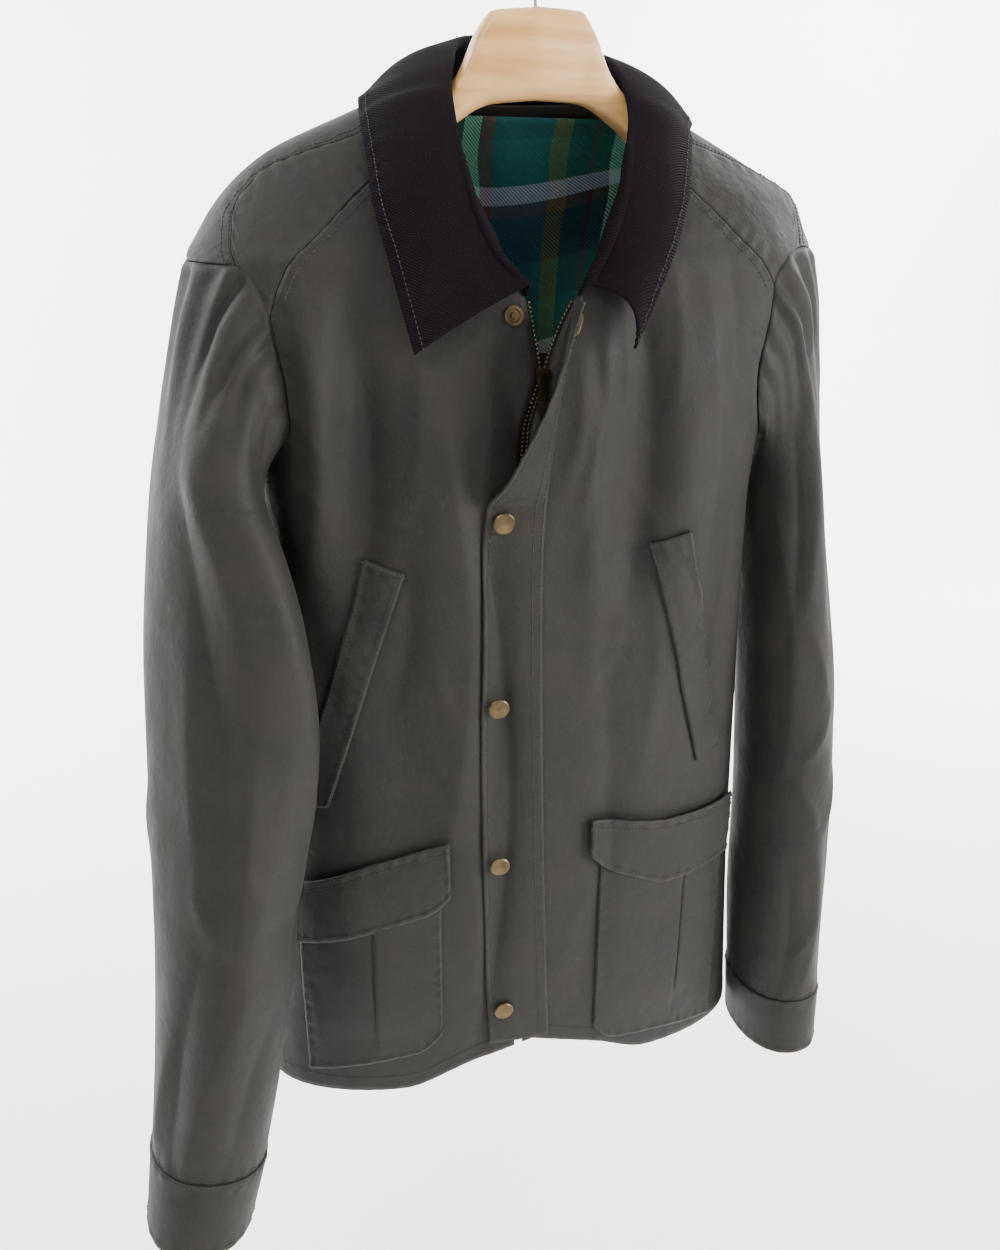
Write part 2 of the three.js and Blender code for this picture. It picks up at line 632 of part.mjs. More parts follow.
// Pocket flap, clear of the pocket's full face, with a softened lower inner corner.
function pocketFlap(name, { side, tops, depths }) {
  const off = LAID + 3.6;
  const thickness = 1.8;
  const place = (down, across) => {
    const at = ([a, b, c]) => (across < 0.5 ? lerp(a, b, across * 2) : lerp(b, c, across * 2 - 1));
    const soft = 10 * Math.max(0, 1 - across * 6) ** 2;
    const x = at(tops.map((corner) => corner[0]));
    const top = at(tops.map((corner) => corner[1]));
    return [x, top - (at(depths) - soft) * down, 0];
  };
  patch(`pocket_flap_${name}`, side, 3, 8, place, off, off + thickness);
}

// Zip tapes: strips under the front edges that reach just past them.
function zipTape(name, side) {
  const rows = 20;
  const thickness = 0.8;
  const under = -CLOTH - GAP - thickness / 2 - 0.1;
  const grid = rowsOf(rows, 2, (r, c) => {
    const z = lerp(EDGE_TOP_Z - 2, hemZ(0) + 6, r / rows);
    const [angle] = frontEdge(side, z);
    const edge = surface(angle, z).x;
    const across = side > 0 ? c / 2 : 1 - c / 2;
    return onFront(edge + side * lerp(-2, 11, across), z, under);
  });
  add(`zip_tape_${name}`, sheetWall(grid, thickness), tape);
}

// Slider: a flat plate, wider at its top, that lies over the teeth.
const SLIDER_Z = -52;
const SLIDER_DEEP = 3;
const TAB_TOP = 0.1;
function slider() {
  const shape = new THREE.Shape();
  shape.moveTo(-4.5, 6);
  shape.lineTo(4.5, 6);
  shape.quadraticCurveTo(5, 1, 3.2, -6);
  shape.lineTo(-3.2, -6);
  shape.quadraticCurveTo(-5, 1, -4.5, 6);
  const options = { depth: SLIDER_DEEP, bevelEnabled: false, curveSegments: 4 };
  return new THREE.ExtrudeGeometry(shape, options).rotateX(Math.PI / 2);
}

// A brass disc turned round its axis, which points out of the cloth.
function disc(name, profile, at, out) {
  const points = profile.map(([radius, height]) => new THREE.Vector2(radius, height));
  const mesh = add(name, new THREE.LatheGeometry(points, 20), brass);
  mesh.position.copy(at);
  mesh.quaternion.setFromUnitVectors(new THREE.Vector3(0, 1, 0), out);
}

// The place on the storm flap's outer face for a snap, and the way that it faces.
function flapSeat(z) {
  const clear = CLOTH / 2 + GAP + 0.55;
  const across = 1 - SNAP_INSET / read(FLAP, 'z', 'width', z);
  const at = (dz, da) => flapPoint(z + dz, across + da, FLAP_OUT);
  const along = at(0, 0.15).sub(at(0, -0.15));
  const out = along.cross(at(-5, 0).sub(at(5, 0))).normalize();
  return { at: at(0, 0).addScaledVector(out, clear), out };
}

// Snap caps down the storm flap, and the one bare stud under the open top of the flap.
function snaps() {
  const cap = [[0, 0], [SNAP_RADIUS, 0], [SNAP_RADIUS, 1.1], [SNAP_RADIUS - 1, 1.9], [0, 2.3]];
  SNAP_HEIGHTS.forEach((z, i) => {
    const seat = flapSeat(z);
    disc(`snap_cap_${i + 1}`, cap, seat.at, seat.out);
  });
  const stud = [[0, 0], [6.5, 0], [6.5, 1.4], [4.4, 1.4], [4, 0.8], [2.4, 0.8], [2.2, 3.2], [0, 3.4]];
  const at = onFront(STUD[0], STUD[1], GAP);
  disc('stud_1', stud, at, onFront(STUD[0], STUD[1], 1 + GAP).sub(at).normalize());
}

// Pull tab: a flat drop with a slot that hangs straight down in front of the slider.
function zipPull() {
  const x = read(ZIP, 'z', 'x', SLIDER_Z);
  const at = onFront(x, SLIDER_Z, 2 * GAP);
  add('zip_slider', slider(), brass).position.copy(at);
  const tab = new THREE.Shape();
  tab.moveTo(-2.4, TAB_TOP);
  tab.lineTo(2.4, TAB_TOP);
  tab.lineTo(4, -18);
  tab.quadraticCurveTo(4, -25, 0, -25);
  tab.quadraticCurveTo(-4, -25, -4, -18);
  const slot = new THREE.Path();
  slot.moveTo(-1.8, -13);
  slot.lineTo(-1.8, -20);
  slot.quadraticCurveTo(0, -22.6, 1.8, -20);
  slot.lineTo(1.8, -13);
  tab.holes.push(slot);
  const options = { depth: 1.4, bevelEnabled: false, curveSegments: 5 };
  const pull = new THREE.ExtrudeGeometry(tab, options).rotateX(Math.PI / 2);
  add('pull_tab', pull, brass).position.set(at.x, at.y - SLIDER_DEEP - GAP, SLIDER_Z - 1);
}

// Lining of the upper back, as far as the open neck shows it. It hangs clear of the cloth.
function lining() {
  const rows = 8;
  const columns = 12;
  const place = (r, c) => {
    const z = lerp(116, -64, r / rows);
    const edge = lerp(122, 128, r / rows);
    return [lerp(edge, 360 - edge, c / columns), z];
  };
  const clear = CLOTH + 1.7;
  add('lining_back', bodyWall(rows, columns, place, -clear - LINING, -clear), plaid);
}

// Hanger: rounded sections along x, with its underside arched in the middle.
function hangerBody() {
  const sides = 12;
  const square = 0.6;
  const slant = 0.035;
  const bowEnds = 150;
  const line = [...HANGER.x.slice(1).map((x) => -x).reverse(), ...HANGER.x];
  const rings = line.map((x) => {
    const along = Math.abs(x);
    const top = read(HANGER, 'x', 'top', along) + slant * x;
    const bottom = read(HANGER, 'x', 'bottom', along) + slant * x;
    const half = read(HANGER, 'x', 'half', along);
    const y = lerp(...HANGER_Y, Math.min(1, along / bowEnds));
    const ring = [];
    for (let i = 0; i < sides; i += 1) {
      const a = (2 * Math.PI * (i + 0.5)) / sides;
      const across = half * power(Math.cos(a), square);
      const up = ((top - bottom) / 2) * power(Math.sin(a), square);
      ring.push(new THREE.Vector3(HOOK_INSIDE[0] + x, y + across, (top + bottom) / 2 + up));
    }
    return ring;
  });
  add('hanger_body', solidOfRings(rings), wood);
}

// A solid through rings of points with a flat cap at each end.
function solidOfRings(rings) {
  const count = rings[0].length;
  const faces = [];
  rings.slice(0, -1).forEach((ring, r) => {
    for (let i = 0; i < count; i += 1) {
      const a = r * count + i;
      const b = r * count + ((i + 1) % count);
      faces.push(a, b, b + count, a, b + count, a + count);
    }
  });
  const last = (rings.length - 1) * count;
  for (let i = 1; i < count - 1; i += 1) {
    faces.push(0, i + 1, i);
    faces.push(last, last + i, last + i + 1);
  }
  return bodyFrom(rings.flat(), faces);
}

// Hook: a wire that rises from the wood and bends over, open to the wearer's right.
function hook() {
  const [x, y, top] = HOOK_INSIDE;
  const centre = top - HOOK_RADIUS + HOOK_WIRE;
  const points = [GAP, 12].map((rise) => new THREE.Vector3(x, y, HANGER.top[0] + rise));
  for (let angle = -60; angle <= 200; angle += 20) {
    const a = radians(angle);
    points.push(new THREE.Vector3(x + HOOK_RADIUS * Math.cos(a), y, centre + HOOK_RADIUS * Math.sin(a)));
  }
  const path = new THREE.CatmullRomCurve3(points);
  const circle = new THREE.Shape().absarc(0, 0, HOOK_WIRE, 0, 2 * Math.PI);
  const options = { steps: 44, curveSegments: 5, bevelEnabled: false, extrudePath: path };
  add('hanger_hook', new THREE.ExtrudeGeometry(circle, options), steel);
}

for (const [name, side] of [['right', -1], ['left', 1]]) {
  frontPanel(`front_${name}`, side);
  frontYoke(`front_yoke_${name}`, side);
  sleeve(side, name);
  welt(name, WELTS[name]);
  pocket(name, POCKETS[name]);
  pocketFlap(name, FLAPS[name]);
  zipTape(name, side);
}
backPanel();
backYoke();
collar();
stormFlap();
lining();
snaps();
zipPull();
hangerBody();
hook();
group.position.set(-HOOK_INSIDE[0], -HOOK_INSIDE[1], -HOOK_INSIDE[2]);

export default group;
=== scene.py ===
import math

import bmesh
import bpy
import numpy as np
from mathutils import Matrix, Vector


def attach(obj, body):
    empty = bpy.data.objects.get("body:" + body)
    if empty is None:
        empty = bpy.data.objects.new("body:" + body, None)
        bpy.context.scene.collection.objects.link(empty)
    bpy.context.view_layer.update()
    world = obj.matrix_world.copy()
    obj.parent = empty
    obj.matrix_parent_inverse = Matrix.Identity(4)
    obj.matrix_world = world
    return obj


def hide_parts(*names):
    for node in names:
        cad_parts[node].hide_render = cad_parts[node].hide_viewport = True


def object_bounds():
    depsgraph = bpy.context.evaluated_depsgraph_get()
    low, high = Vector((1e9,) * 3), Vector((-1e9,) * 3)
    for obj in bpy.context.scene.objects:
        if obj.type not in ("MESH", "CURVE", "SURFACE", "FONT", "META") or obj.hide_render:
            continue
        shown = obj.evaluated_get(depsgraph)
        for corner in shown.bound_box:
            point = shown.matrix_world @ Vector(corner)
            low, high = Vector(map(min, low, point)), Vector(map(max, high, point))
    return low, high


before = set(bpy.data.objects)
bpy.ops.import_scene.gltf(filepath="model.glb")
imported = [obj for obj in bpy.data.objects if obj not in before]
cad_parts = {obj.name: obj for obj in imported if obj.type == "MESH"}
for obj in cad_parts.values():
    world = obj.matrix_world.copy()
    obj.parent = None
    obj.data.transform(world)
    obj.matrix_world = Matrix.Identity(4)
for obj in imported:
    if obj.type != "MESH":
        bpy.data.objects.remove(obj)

cad_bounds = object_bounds()

# Studio. A pale floor that curves up into a pale wall, lit softly from the front, above and both
# sides, and the camera: a little above the jacket's right shoulder, looking down. Lengths of the
# jacket are in millimetres from the centre front of the neck; place() moves them to the frame.
HOOK_INSIDE = np.array([9.0, -24.0, 246.0])


def place(points):
    return (np.asarray(points, float) - HOOK_INSIDE) / 1000.0


def linear(hex_colour):
    parts = [int(hex_colour[i:i + 2], 16) / 255 for i in (1, 3, 5)]
    return [p / 12.92 if p <= 0.04045 else ((p + 0.055) / 1.055) ** 2.4 for p in parts] + [1.0]


def add_node(tree, kind, inputs=None, links=None, **settings):
    node = tree.nodes.new(kind)
    for key, value in settings.items():
        setattr(node, key, value)
    for key, value in (inputs or {}).items():
        node.inputs[key].default_value = value
    for key, source in (links or {}).items():
        tree.links.new(source, node.inputs[key])
    return node


def new_finish(name):
    finish = bpy.data.materials.new(name)
    finish.use_nodes = True
    finish.node_tree.nodes.clear()
    return finish, finish.node_tree


def dress(tree, inputs, links):
    """Ends a material: one Principled shader with plain values and with sockets linked to it."""
    shader = add_node(tree, "ShaderNodeBsdfPrincipled", inputs, links)
    add_node(tree, "ShaderNodeOutputMaterial", links={"Surface": shader.outputs[0]})


def object_place(tree):
    return add_node(tree, "ShaderNodeTexCoord").outputs["Object"]


def cloth_chart(tree):
    return add_node(tree, "ShaderNodeUVMap", uv_map="cloth_map").outputs["UV"]


def noise(tree, where, scale, detail=2.0, roughness=0.5, distortion=0.0):
    return add_node(tree, "ShaderNodeTexNoise",
                    {"Scale": scale, "Detail": detail, "Roughness": roughness,
                     "Distortion": distortion},
                    {"Vector": where} if where else None).outputs["Fac"]


def remap(tree, value, low, high, start=0.0, end=1.0):
    """Maps start to low and end to high."""
    return add_node(tree, "ShaderNodeMapRange",
                    {"From Min": start, "From Max": end, "To Min": low, "To Max": high},
                    {"Value": value}).outputs["Result"]


def calculate(tree, operation, *values):
    """One Math node, fed numbers and sockets in the order that it takes them."""
    node = add_node(tree, "ShaderNodeMath", operation=operation)
    for i, value in enumerate(values):
        if isinstance(value, (int, float)):
            node.inputs[i].default_value = value
        else:
            tree.links.new(value, node.inputs[i])
    return node.outputs["Value"]


def two_tones(tree, share, dark, light, start=0.0, end=1.0):
    ramp = add_node(tree, "ShaderNodeValToRGB", links={"Fac": share})
    for element, at, colour in zip(ramp.color_ramp.elements, (start, end), (dark, light)):
        element.position = at
        element.color = linear(colour)
    return ramp.outputs["Color"]


def mixed(tree, share, first, second):
    """Blends the colour of one socket with that of another, or with a hex colour."""
    node = add_node(tree, "ShaderNodeMixRGB", links={"Fac": share, "Color1": first})
    if isinstance(second, str):
        node.inputs["Color2"].default_value = linear(second)
    else:
        tree.links.new(second, node.inputs["Color2"])
    return node.outputs["Color"]


def bump(tree, height, strength, distance, normal=None):
    links = {"Height": height} | ({"Normal": normal} if normal else {})
    return add_node(tree, "ShaderNodeBump", {"Strength": strength, "Distance": distance},
                    links).outputs["Normal"]


def finish_node(node, finish):
    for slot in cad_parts[node].material_slots:
        slot.material = finish


def mesh_object(name, vertices, faces, finish):
    mesh = bpy.data.meshes.new(name)
    mesh.from_pydata(vertices, [], faces)
    mesh.materials.append(finish)
    mesh.polygons.foreach_set("use_smooth", [True] * len(mesh.polygons))
    piece = bpy.data.objects.new(name, mesh)
    bpy.context.collection.objects.link(piece)
    return piece


studio_paint, tree = new_finish("matt_studio_paint")
shade = two_tones(tree, noise(tree, None, 1.5), "#f2f2f1", "#f6f6f5")
dress(tree, {"Roughness": 0.95}, {"Base Color": shade})

FLOOR_DROP = 0.45
floor_z = cad_bounds[0][2] - FLOOR_DROP
COVE, WALL_AT, FLOOR_FRONT, WALL_TOP, HALF_ROOM = 1.2, 3.4, -4.5, 4.5, 6.0
bend = [(WALL_AT - COVE * (1 - math.sin(a)), floor_z + COVE * (1 - math.cos(a)))
        for a in np.linspace(0, math.pi / 2, 17)]
profile = [(FLOOR_FRONT, floor_z)] + bend + [(WALL_AT, WALL_TOP)]
backdrop = mesh_object(
    "studio_floor",
    [(x, y, z) for x in (-HALF_ROOM, HALF_ROOM) for y, z in profile],
    [(i, i + 1, len(profile) + i + 1, len(profile) + i) for i in range(len(profile) - 1)],
    studio_paint)


def soft_light(name, at, aim, size, power):
    data = bpy.data.lights.new(name, "AREA")
    data.shape = "DISK"
    data.size = size
    data.energy = power
    light = bpy.data.objects.new(name, data)
    bpy.context.collection.objects.link(light)
    back = (np.array(at) - np.array(aim)) / np.linalg.norm(np.array(at) - np.array(aim))
    side = np.cross([0, 0, 1], back)
    side /= np.linalg.norm(side)
    up = np.cross(back, side)
    rows = [[*row, at[i]] for i, row in enumerate(zip(side, up, back))]
    light.matrix_world = Matrix(rows + [[0, 0, 0, 1]])


soft_light("key", (-1.5, -1.7, 1.7), (0, 0, -0.4), 0.8, 46)
soft_light("fill", (2.2, -1.6, 0.2), (0, 0, -0.5), 1.6, 126)
soft_light("top", (0.3, 0.2, 2.4), (0, 0, -0.3), 1.6, 22)
soft_light("wall_left", (-2.4, 1.3, 0.8), (-1.0, 3.4, -0.6), 1.6, 340)
soft_light("wall_right", (2.6, 1.3, 0.8), (1.2, 3.4, -0.6), 1.6, 340)

world = bpy.data.worlds.new("studio")
world.use_nodes = True
world.node_tree.nodes["Background"].inputs["Color"].default_value = (1, 1, 1, 1)
world.node_tree.nodes["Background"].inputs["Strength"].default_value = 0.98
bpy.context.scene.world = world

EYE = (-212.7, -802.2, 60.2)
PITCH, HEADING, ROLL = (math.radians(v) for v in (22.1, 14.6, 0.81))
aim = np.array([math.sin(HEADING) * math.cos(PITCH), math.cos(HEADING) * math.cos(PITCH),
                -math.sin(PITCH)])
level = np.array([math.cos(HEADING), -math.sin(HEADING), 0])
upright = np.cross(level, aim)
right = level * math.cos(ROLL) + upright * math.sin(ROLL)
above = -level * math.sin(ROLL) + upright * math.cos(ROLL)
camera_data = bpy.data.cameras.new("camera")
camera_data.sensor_fit = "VERTICAL"
camera_data.sensor_height = 36
camera_data.lens = 30.53
camera = bpy.data.objects.new("camera", camera_data)
camera.matrix_world = Matrix([[*row, place(EYE)[i]] for i, row in enumerate(zip(right, above, -aim))]
                             + [[0, 0, 0, 1]])
bpy.context.collection.objects.link(camera)
bpy.context.scene.camera = camera


# Waxed cotton. Dark olive-grey cotton proofed with wax: a dull sheen, a mottled surface where the
# wax has thinned, and a paler line along seam edges and sleeve crease ridges: wear and a painted
# highlight.
waxed_cotton, tree = new_finish("waxed_cotton")
where = object_place(tree)
cloud = noise(tree, where, 22.0, 5.0, 0.62)
fleck = noise(tree, where, 420.0, 3.0, 0.7)
crumple = noise(tree, where, 26.0, 5.0, 0.55)
# Share of the paler colour: rubbed seam edges, and a painted highlight along the sleeves' crease
# ridges.
wear_and_ridge_highlight = add_node(tree, "ShaderNodeAttribute", attribute_name="wear_and_ridge_highlight").outputs["Fac"]
tone = two_tones(tree, cloud, "#1a1916", "#272420", 0.3, 0.72)
tone = mixed(tree, remap(tree, fleck, 0.0, 0.55, 0.52, 0.8), tone, "#2d2b27")
tone = mixed(tree, calculate(tree, "MULTIPLY", wear_and_ridge_highlight, cloud), tone, "#36332e")
dress(tree, {"IOR": 1.45, "Specular IOR Level": 0.3, "Sheen Weight": 0.02, "Sheen Roughness": 0.4},
      {"Base Color": tone, "Roughness": remap(tree, cloud, 0.6, 0.76, 0.3, 0.7),
       "Normal": bump(tree, crumple, 0.6, 0.0045, bump(tree, fleck, 0.35, 0.0003))})


# Form of the body. The body of the jacket hangs as one soft tube that widens to the hem. These
# rows are the sizes of its sections and the line of each seam, and every panel and patch below is
# laid on that form.
def table(names, rows):
    return dict(zip(names.split(), np.array(rows, float).T))


def read(rows, key, column, at):
    xs, ys = rows[key], rows[column]
    at = np.clip(at, xs[0], xs[-1])
    i = np.clip(np.searchsorted(xs, at) - 1, 0, len(xs) - 2)
    slope = np.diff(ys) / np.diff(xs)
    before, after = slope[:-1], slope[1:]
    total = np.where(before + after == 0, 1, before + after)
    inner = np.where(before * after > 0, 2 * before * after / total, 0)
    tangent = np.concatenate([slope[:1], inner, slope[-1:]])
    step = xs[i + 1] - xs[i]
    t = (at - xs[i]) / step
    low = (1 + 2 * t) * (1 - t) ** 2 * ys[i] + t * (1 - t) ** 2 * step * tangent[i]
    return low + t * t * (3 - 2 * t) * ys[i + 1] + t * t * (t - 1) * step * tangent[i + 1]


def lerp(a, b, t):
    return a + (b - a) * t


SECTIONS = table("z right left side_y front back round", [
    (-690, 224, 222, -24, 92, 92, 2.4), (-466, 202, 205, -20, 94, 88, 2.5),
    (-300, 194, 197, -18, 96, 88, 2.5), (-170, 191, 190, -16, 99, 90, 2.6),
    (-112, 194, 192, -14, 102, 92, 2.7), (-60, 212, 208, -12, 102, 93, 2.8),
    (-20, 226, 225, -10, 100, 92, 2.8), (16, 231, 231, -9, 96, 88, 2.6),
    (36, 221, 225, -8, 90, 85, 2.4), (60, 203, 216, -7, 80, 80, 2.2),
    (84, 174, 174, -6, 68, 72, 2.1), (110, 118, 122, -4, 56, 62, 2.05),
    (126, 80, 88, -3, 46, 52, 2), (138, 48, 60, -2, 38, 42, 2), (150, 12, 20, 0, 20, 20, 2)])

# Folds: face (1 front, -1 back), the x and z of both ends, half width and height.
FOLDS = [
    (1, -150, 30, -165, -240, 17, 8), (1, -124, 20, -136, -210, 18, -9),
    (1, -76, -20, -70, -290, 22, 7), (1, 62, 0, 66, -230, 20, -10), (1, 108, 10, 112, -300, 24, 8),
    (1, 150, -190, 160, -400, 18, -5), (1, -38, -120, -34, -620, 12, -5),
    (1, -120, -220, -96, -430, 24, -5), (1, 34, -60, 40, -300, 12, 3),
    (-1, -150, 0, -158, -470, 26, -6), (-1, -92, 30, -112, -560, 28, 6),
    (-1, -18, 20, -8, -620, 34, -6), (-1, 62, 0, 92, -500, 30, 6),
    (-1, 142, -40, 150, -560, 24, -6)]

# Sharper creases of the worn cloth, placed one by one: the same values, for front (1) and back (-1).
CREASES = {
    1: [
        (-61, -90, -53, -650, 9, -5.5), (-78, -70, -74, -430, 9, 3.6),
        (-136, 10, -140, -250, 12, -4.6), (-167, 30, -170, -210, 9, 5.0), (62, 10, 64, -230, 11, -4.4),
        (108, 30, 112, -290, 12, 4.4), (36, 0, 22, -160, 6, 3.0), (36, -200, 40, -600, 13, -3.2),
        (-186, -150, -180, -400, 7, 5.0), (-104, -160, -112, -300, 9, -3.0),
        (140, -60, 146, -330, 10, -3.6), (84, -200, 78, -400, 10, 2.6), (22, -30, 6, -150, 5, 2.2),
        (30, -20, 30, -170, 6, -2.4), (46, 10, 52, -130, 7, 2.6), (84, 30, 88, -90, 8, 2.4),
        (128, 40, 132, -110, 9, -2.6), (158, 0, 150, -150, 8, 2.8), (60, -130, 96, -190, 6, 1.6),
        (72, -230, 44, -300, 7, -1.8), (118, -250, 150, -330, 7, 1.8), (40, -310, 92, -348, 6, 1.4),
        (176, -150, 170, -290, 8, 2.2), (150, -70, 186, -120, 6, 2.2), (100, -180, 128, -260, 7, -1.7),
        (24, -560, 48, -470, 6, 1.3), (60, -360, 48, -420, 7, -1.4), (-34, -40, -24, -160, 7, -2.2),
        (-52, -10, -48, -130, 7, 2.2), (-100, 20, -98, -150, 8, 2.3), (-172, 10, -160, -120, 7, 2.8),
        (-184, -60, -150, -110, 6, 2.0), (-188, -120, -150, -140, 6, 2.2),
        (-142, -160, -96, -176, 5, 1.5), (-56, -170, -44, -300, 9, 2.0),
        (-40, -250, -36, -380, 7, -1.8), (-92, -250, -64, -330, 6, 1.5),
        (-170, -250, -176, -370, 8, 2.2), (-112, -330, -70, -372, 7, -1.6),
        (-60, -420, -50, -560, 8, 1.6), (-192, -520, -180, -640, 8, 2.0),
        (-150, -402, -100, -396, 5, 1.3)],
    -1: [
        (-120, -30, -60, -110, 8, 2.2), (110, -30, 60, -120, 8, 2.0), (-60, -60, -30, -200, 9, -2.2),
        (30, -80, 24, -260, 9, 2.2), (170, -120, 130, -180, 7, 2.4), (-170, -110, -140, -200, 7, 2.2),
        (-150, -260, -90, -300, 7, 1.8), (60, -300, 120, -340, 7, -1.8), (-40, -340, 20, -380, 8, 1.6),
        (150, -380, 110, -470, 8, 2.2), (-130, -430, -120, -580, 9, 2.2), (50, -450, 60, -620, 9, 2.0),
        (-40, -480, -50, -640, 9, -2.0), (90, 40, 20, 20, 7, 1.6), (-100, 50, -30, 30, 7, 1.6)]}


CREASE_SHARPNESS = 1.35


def ridge(start_u, start_v, end_u, end_v, width, height, u, v):
    """Height of one crease: a soft line from start to end that fades at both."""
    du, dv = end_u - start_u, end_v - start_v
    length = math.hypot(du, dv)
    t = ((u - start_u) * du + (v - start_v) * dv) / length ** 2
    across = ((u - start_u) * dv - (v - start_v) * du) / length
    bow = across + 0.06 * length * np.sin(math.pi * t)
    fade = np.sin(math.pi * np.clip(t, 0, 1)) ** 0.7
    return height * fade * np.exp(-(np.abs(bow) / width) ** CREASE_SHARPNESS)


def power(value, exponent):
    return np.sign(value) * np.abs(value) ** exponent


def fold_height(face, x, z):
    height = np.zeros_like(x)
    for side, top_x, top_z, end_x, end_z, width, size in FOLDS:
        t = (z - top_z) / (end_z - top_z)
        across = (x - lerp(top_x, end_x, t)) / width
        inside = (t > 0) & (t < 1) & (face == side)
        fade = np.sin(math.pi * np.clip(t, 0, 1)) ** 0.8
        height += np.where(inside, size * np.exp(-across ** 2) * fade, 0)
    return height


def surface(angle, z):
    s, c = np.sin(np.radians(angle)), np.cos(np.radians(angle))
    bow = 2 / read(SECTIONS, "z", "round", z)
    half = np.where(s < 0, read(SECTIONS, "z", "right", z), read(SECTIONS, "z", "left", z))
    deep = np.where(c > 0, read(SECTIONS, "z", "front", z), read(SECTIONS, "z", "back", z))
    x = half * power(s, bow)
    y = read(SECTIONS, "z", "side_y", z) - deep * power(c, bow)
    y = y - fold_height(np.sign(c), x, z) * power(c, 0.5)
    return np.stack(np.broadcast_arrays(x, y, z), -1)


def on_body(angle, z, out):
    """Points of the form, moved out of the cloth by a distance, with the sharper creases added."""
    angle, z = np.broadcast_arrays(np.asarray(angle, float), np.asarray(z, float))
    turn = surface(angle + 0.6, z) - surface(angle - 0.6, z)
    rise = surface(angle, z + 1.5) - surface(angle, z - 1.5)
    normal = np.cross(turn, rise)
    normal /= np.linalg.norm(normal, axis=-1, keepdims=True)
    points = surface(angle, z)
    c = np.cos(np.radians(angle))
    relief = np.zeros_like(z)
    for face, creases in CREASES.items():
        height = sum(ridge(*crease, points[..., 0], z) for crease in creases)
        relief += np.where(np.sign(c) == face, height, 0) * np.abs(c) ** 0.5
    return points + normal * (np.asarray(out) + relief)[..., None]


def angle_at(x, z):
    half = np.where(x < 0, read(SECTIONS, "z", "right", z), read(SECTIONS, "z", "left", z))
    share = np.minimum(np.abs(x) / half, 1) ** (read(SECTIONS, "z", "round", z) / 2)
    return np.sign(x) * np.degrees(np.arcsin(share))


def on_front(x, z, out):
    return on_body(angle_at(x, z), z, out)


# Making a piece of cloth. Each cut piece is a grid of points with a thickness. Its border is
# turned under and stitched, so it sinks at the very edge, stands up over the turned cloth and
# puckers a little along the thread.
THREAD_CLEAR = 0.2


def lengths(grid, axis):
    step = np.linalg.norm(np.diff(grid, axis=axis), axis=-1)
    pad = [(0, 0), (0, 0)]
    pad[axis] = (1, 0)
    return np.cumsum(np.pad(step, pad), axis=axis)


def outward(grid, core, loop):
    if loop:
        across = np.roll(grid, -1, 1) - np.roll(grid, 1, 1)
    else:
        across = np.gradient(grid, axis=1)
    normal = np.cross(np.gradient(grid, axis=0), across)
    normal /= np.maximum(np.linalg.norm(normal, axis=-1, keepdims=True), 1e-9)
    facing = np.sum(normal * (grid - core), axis=(-1)).sum()
    return normal if facing > 0 else -normal


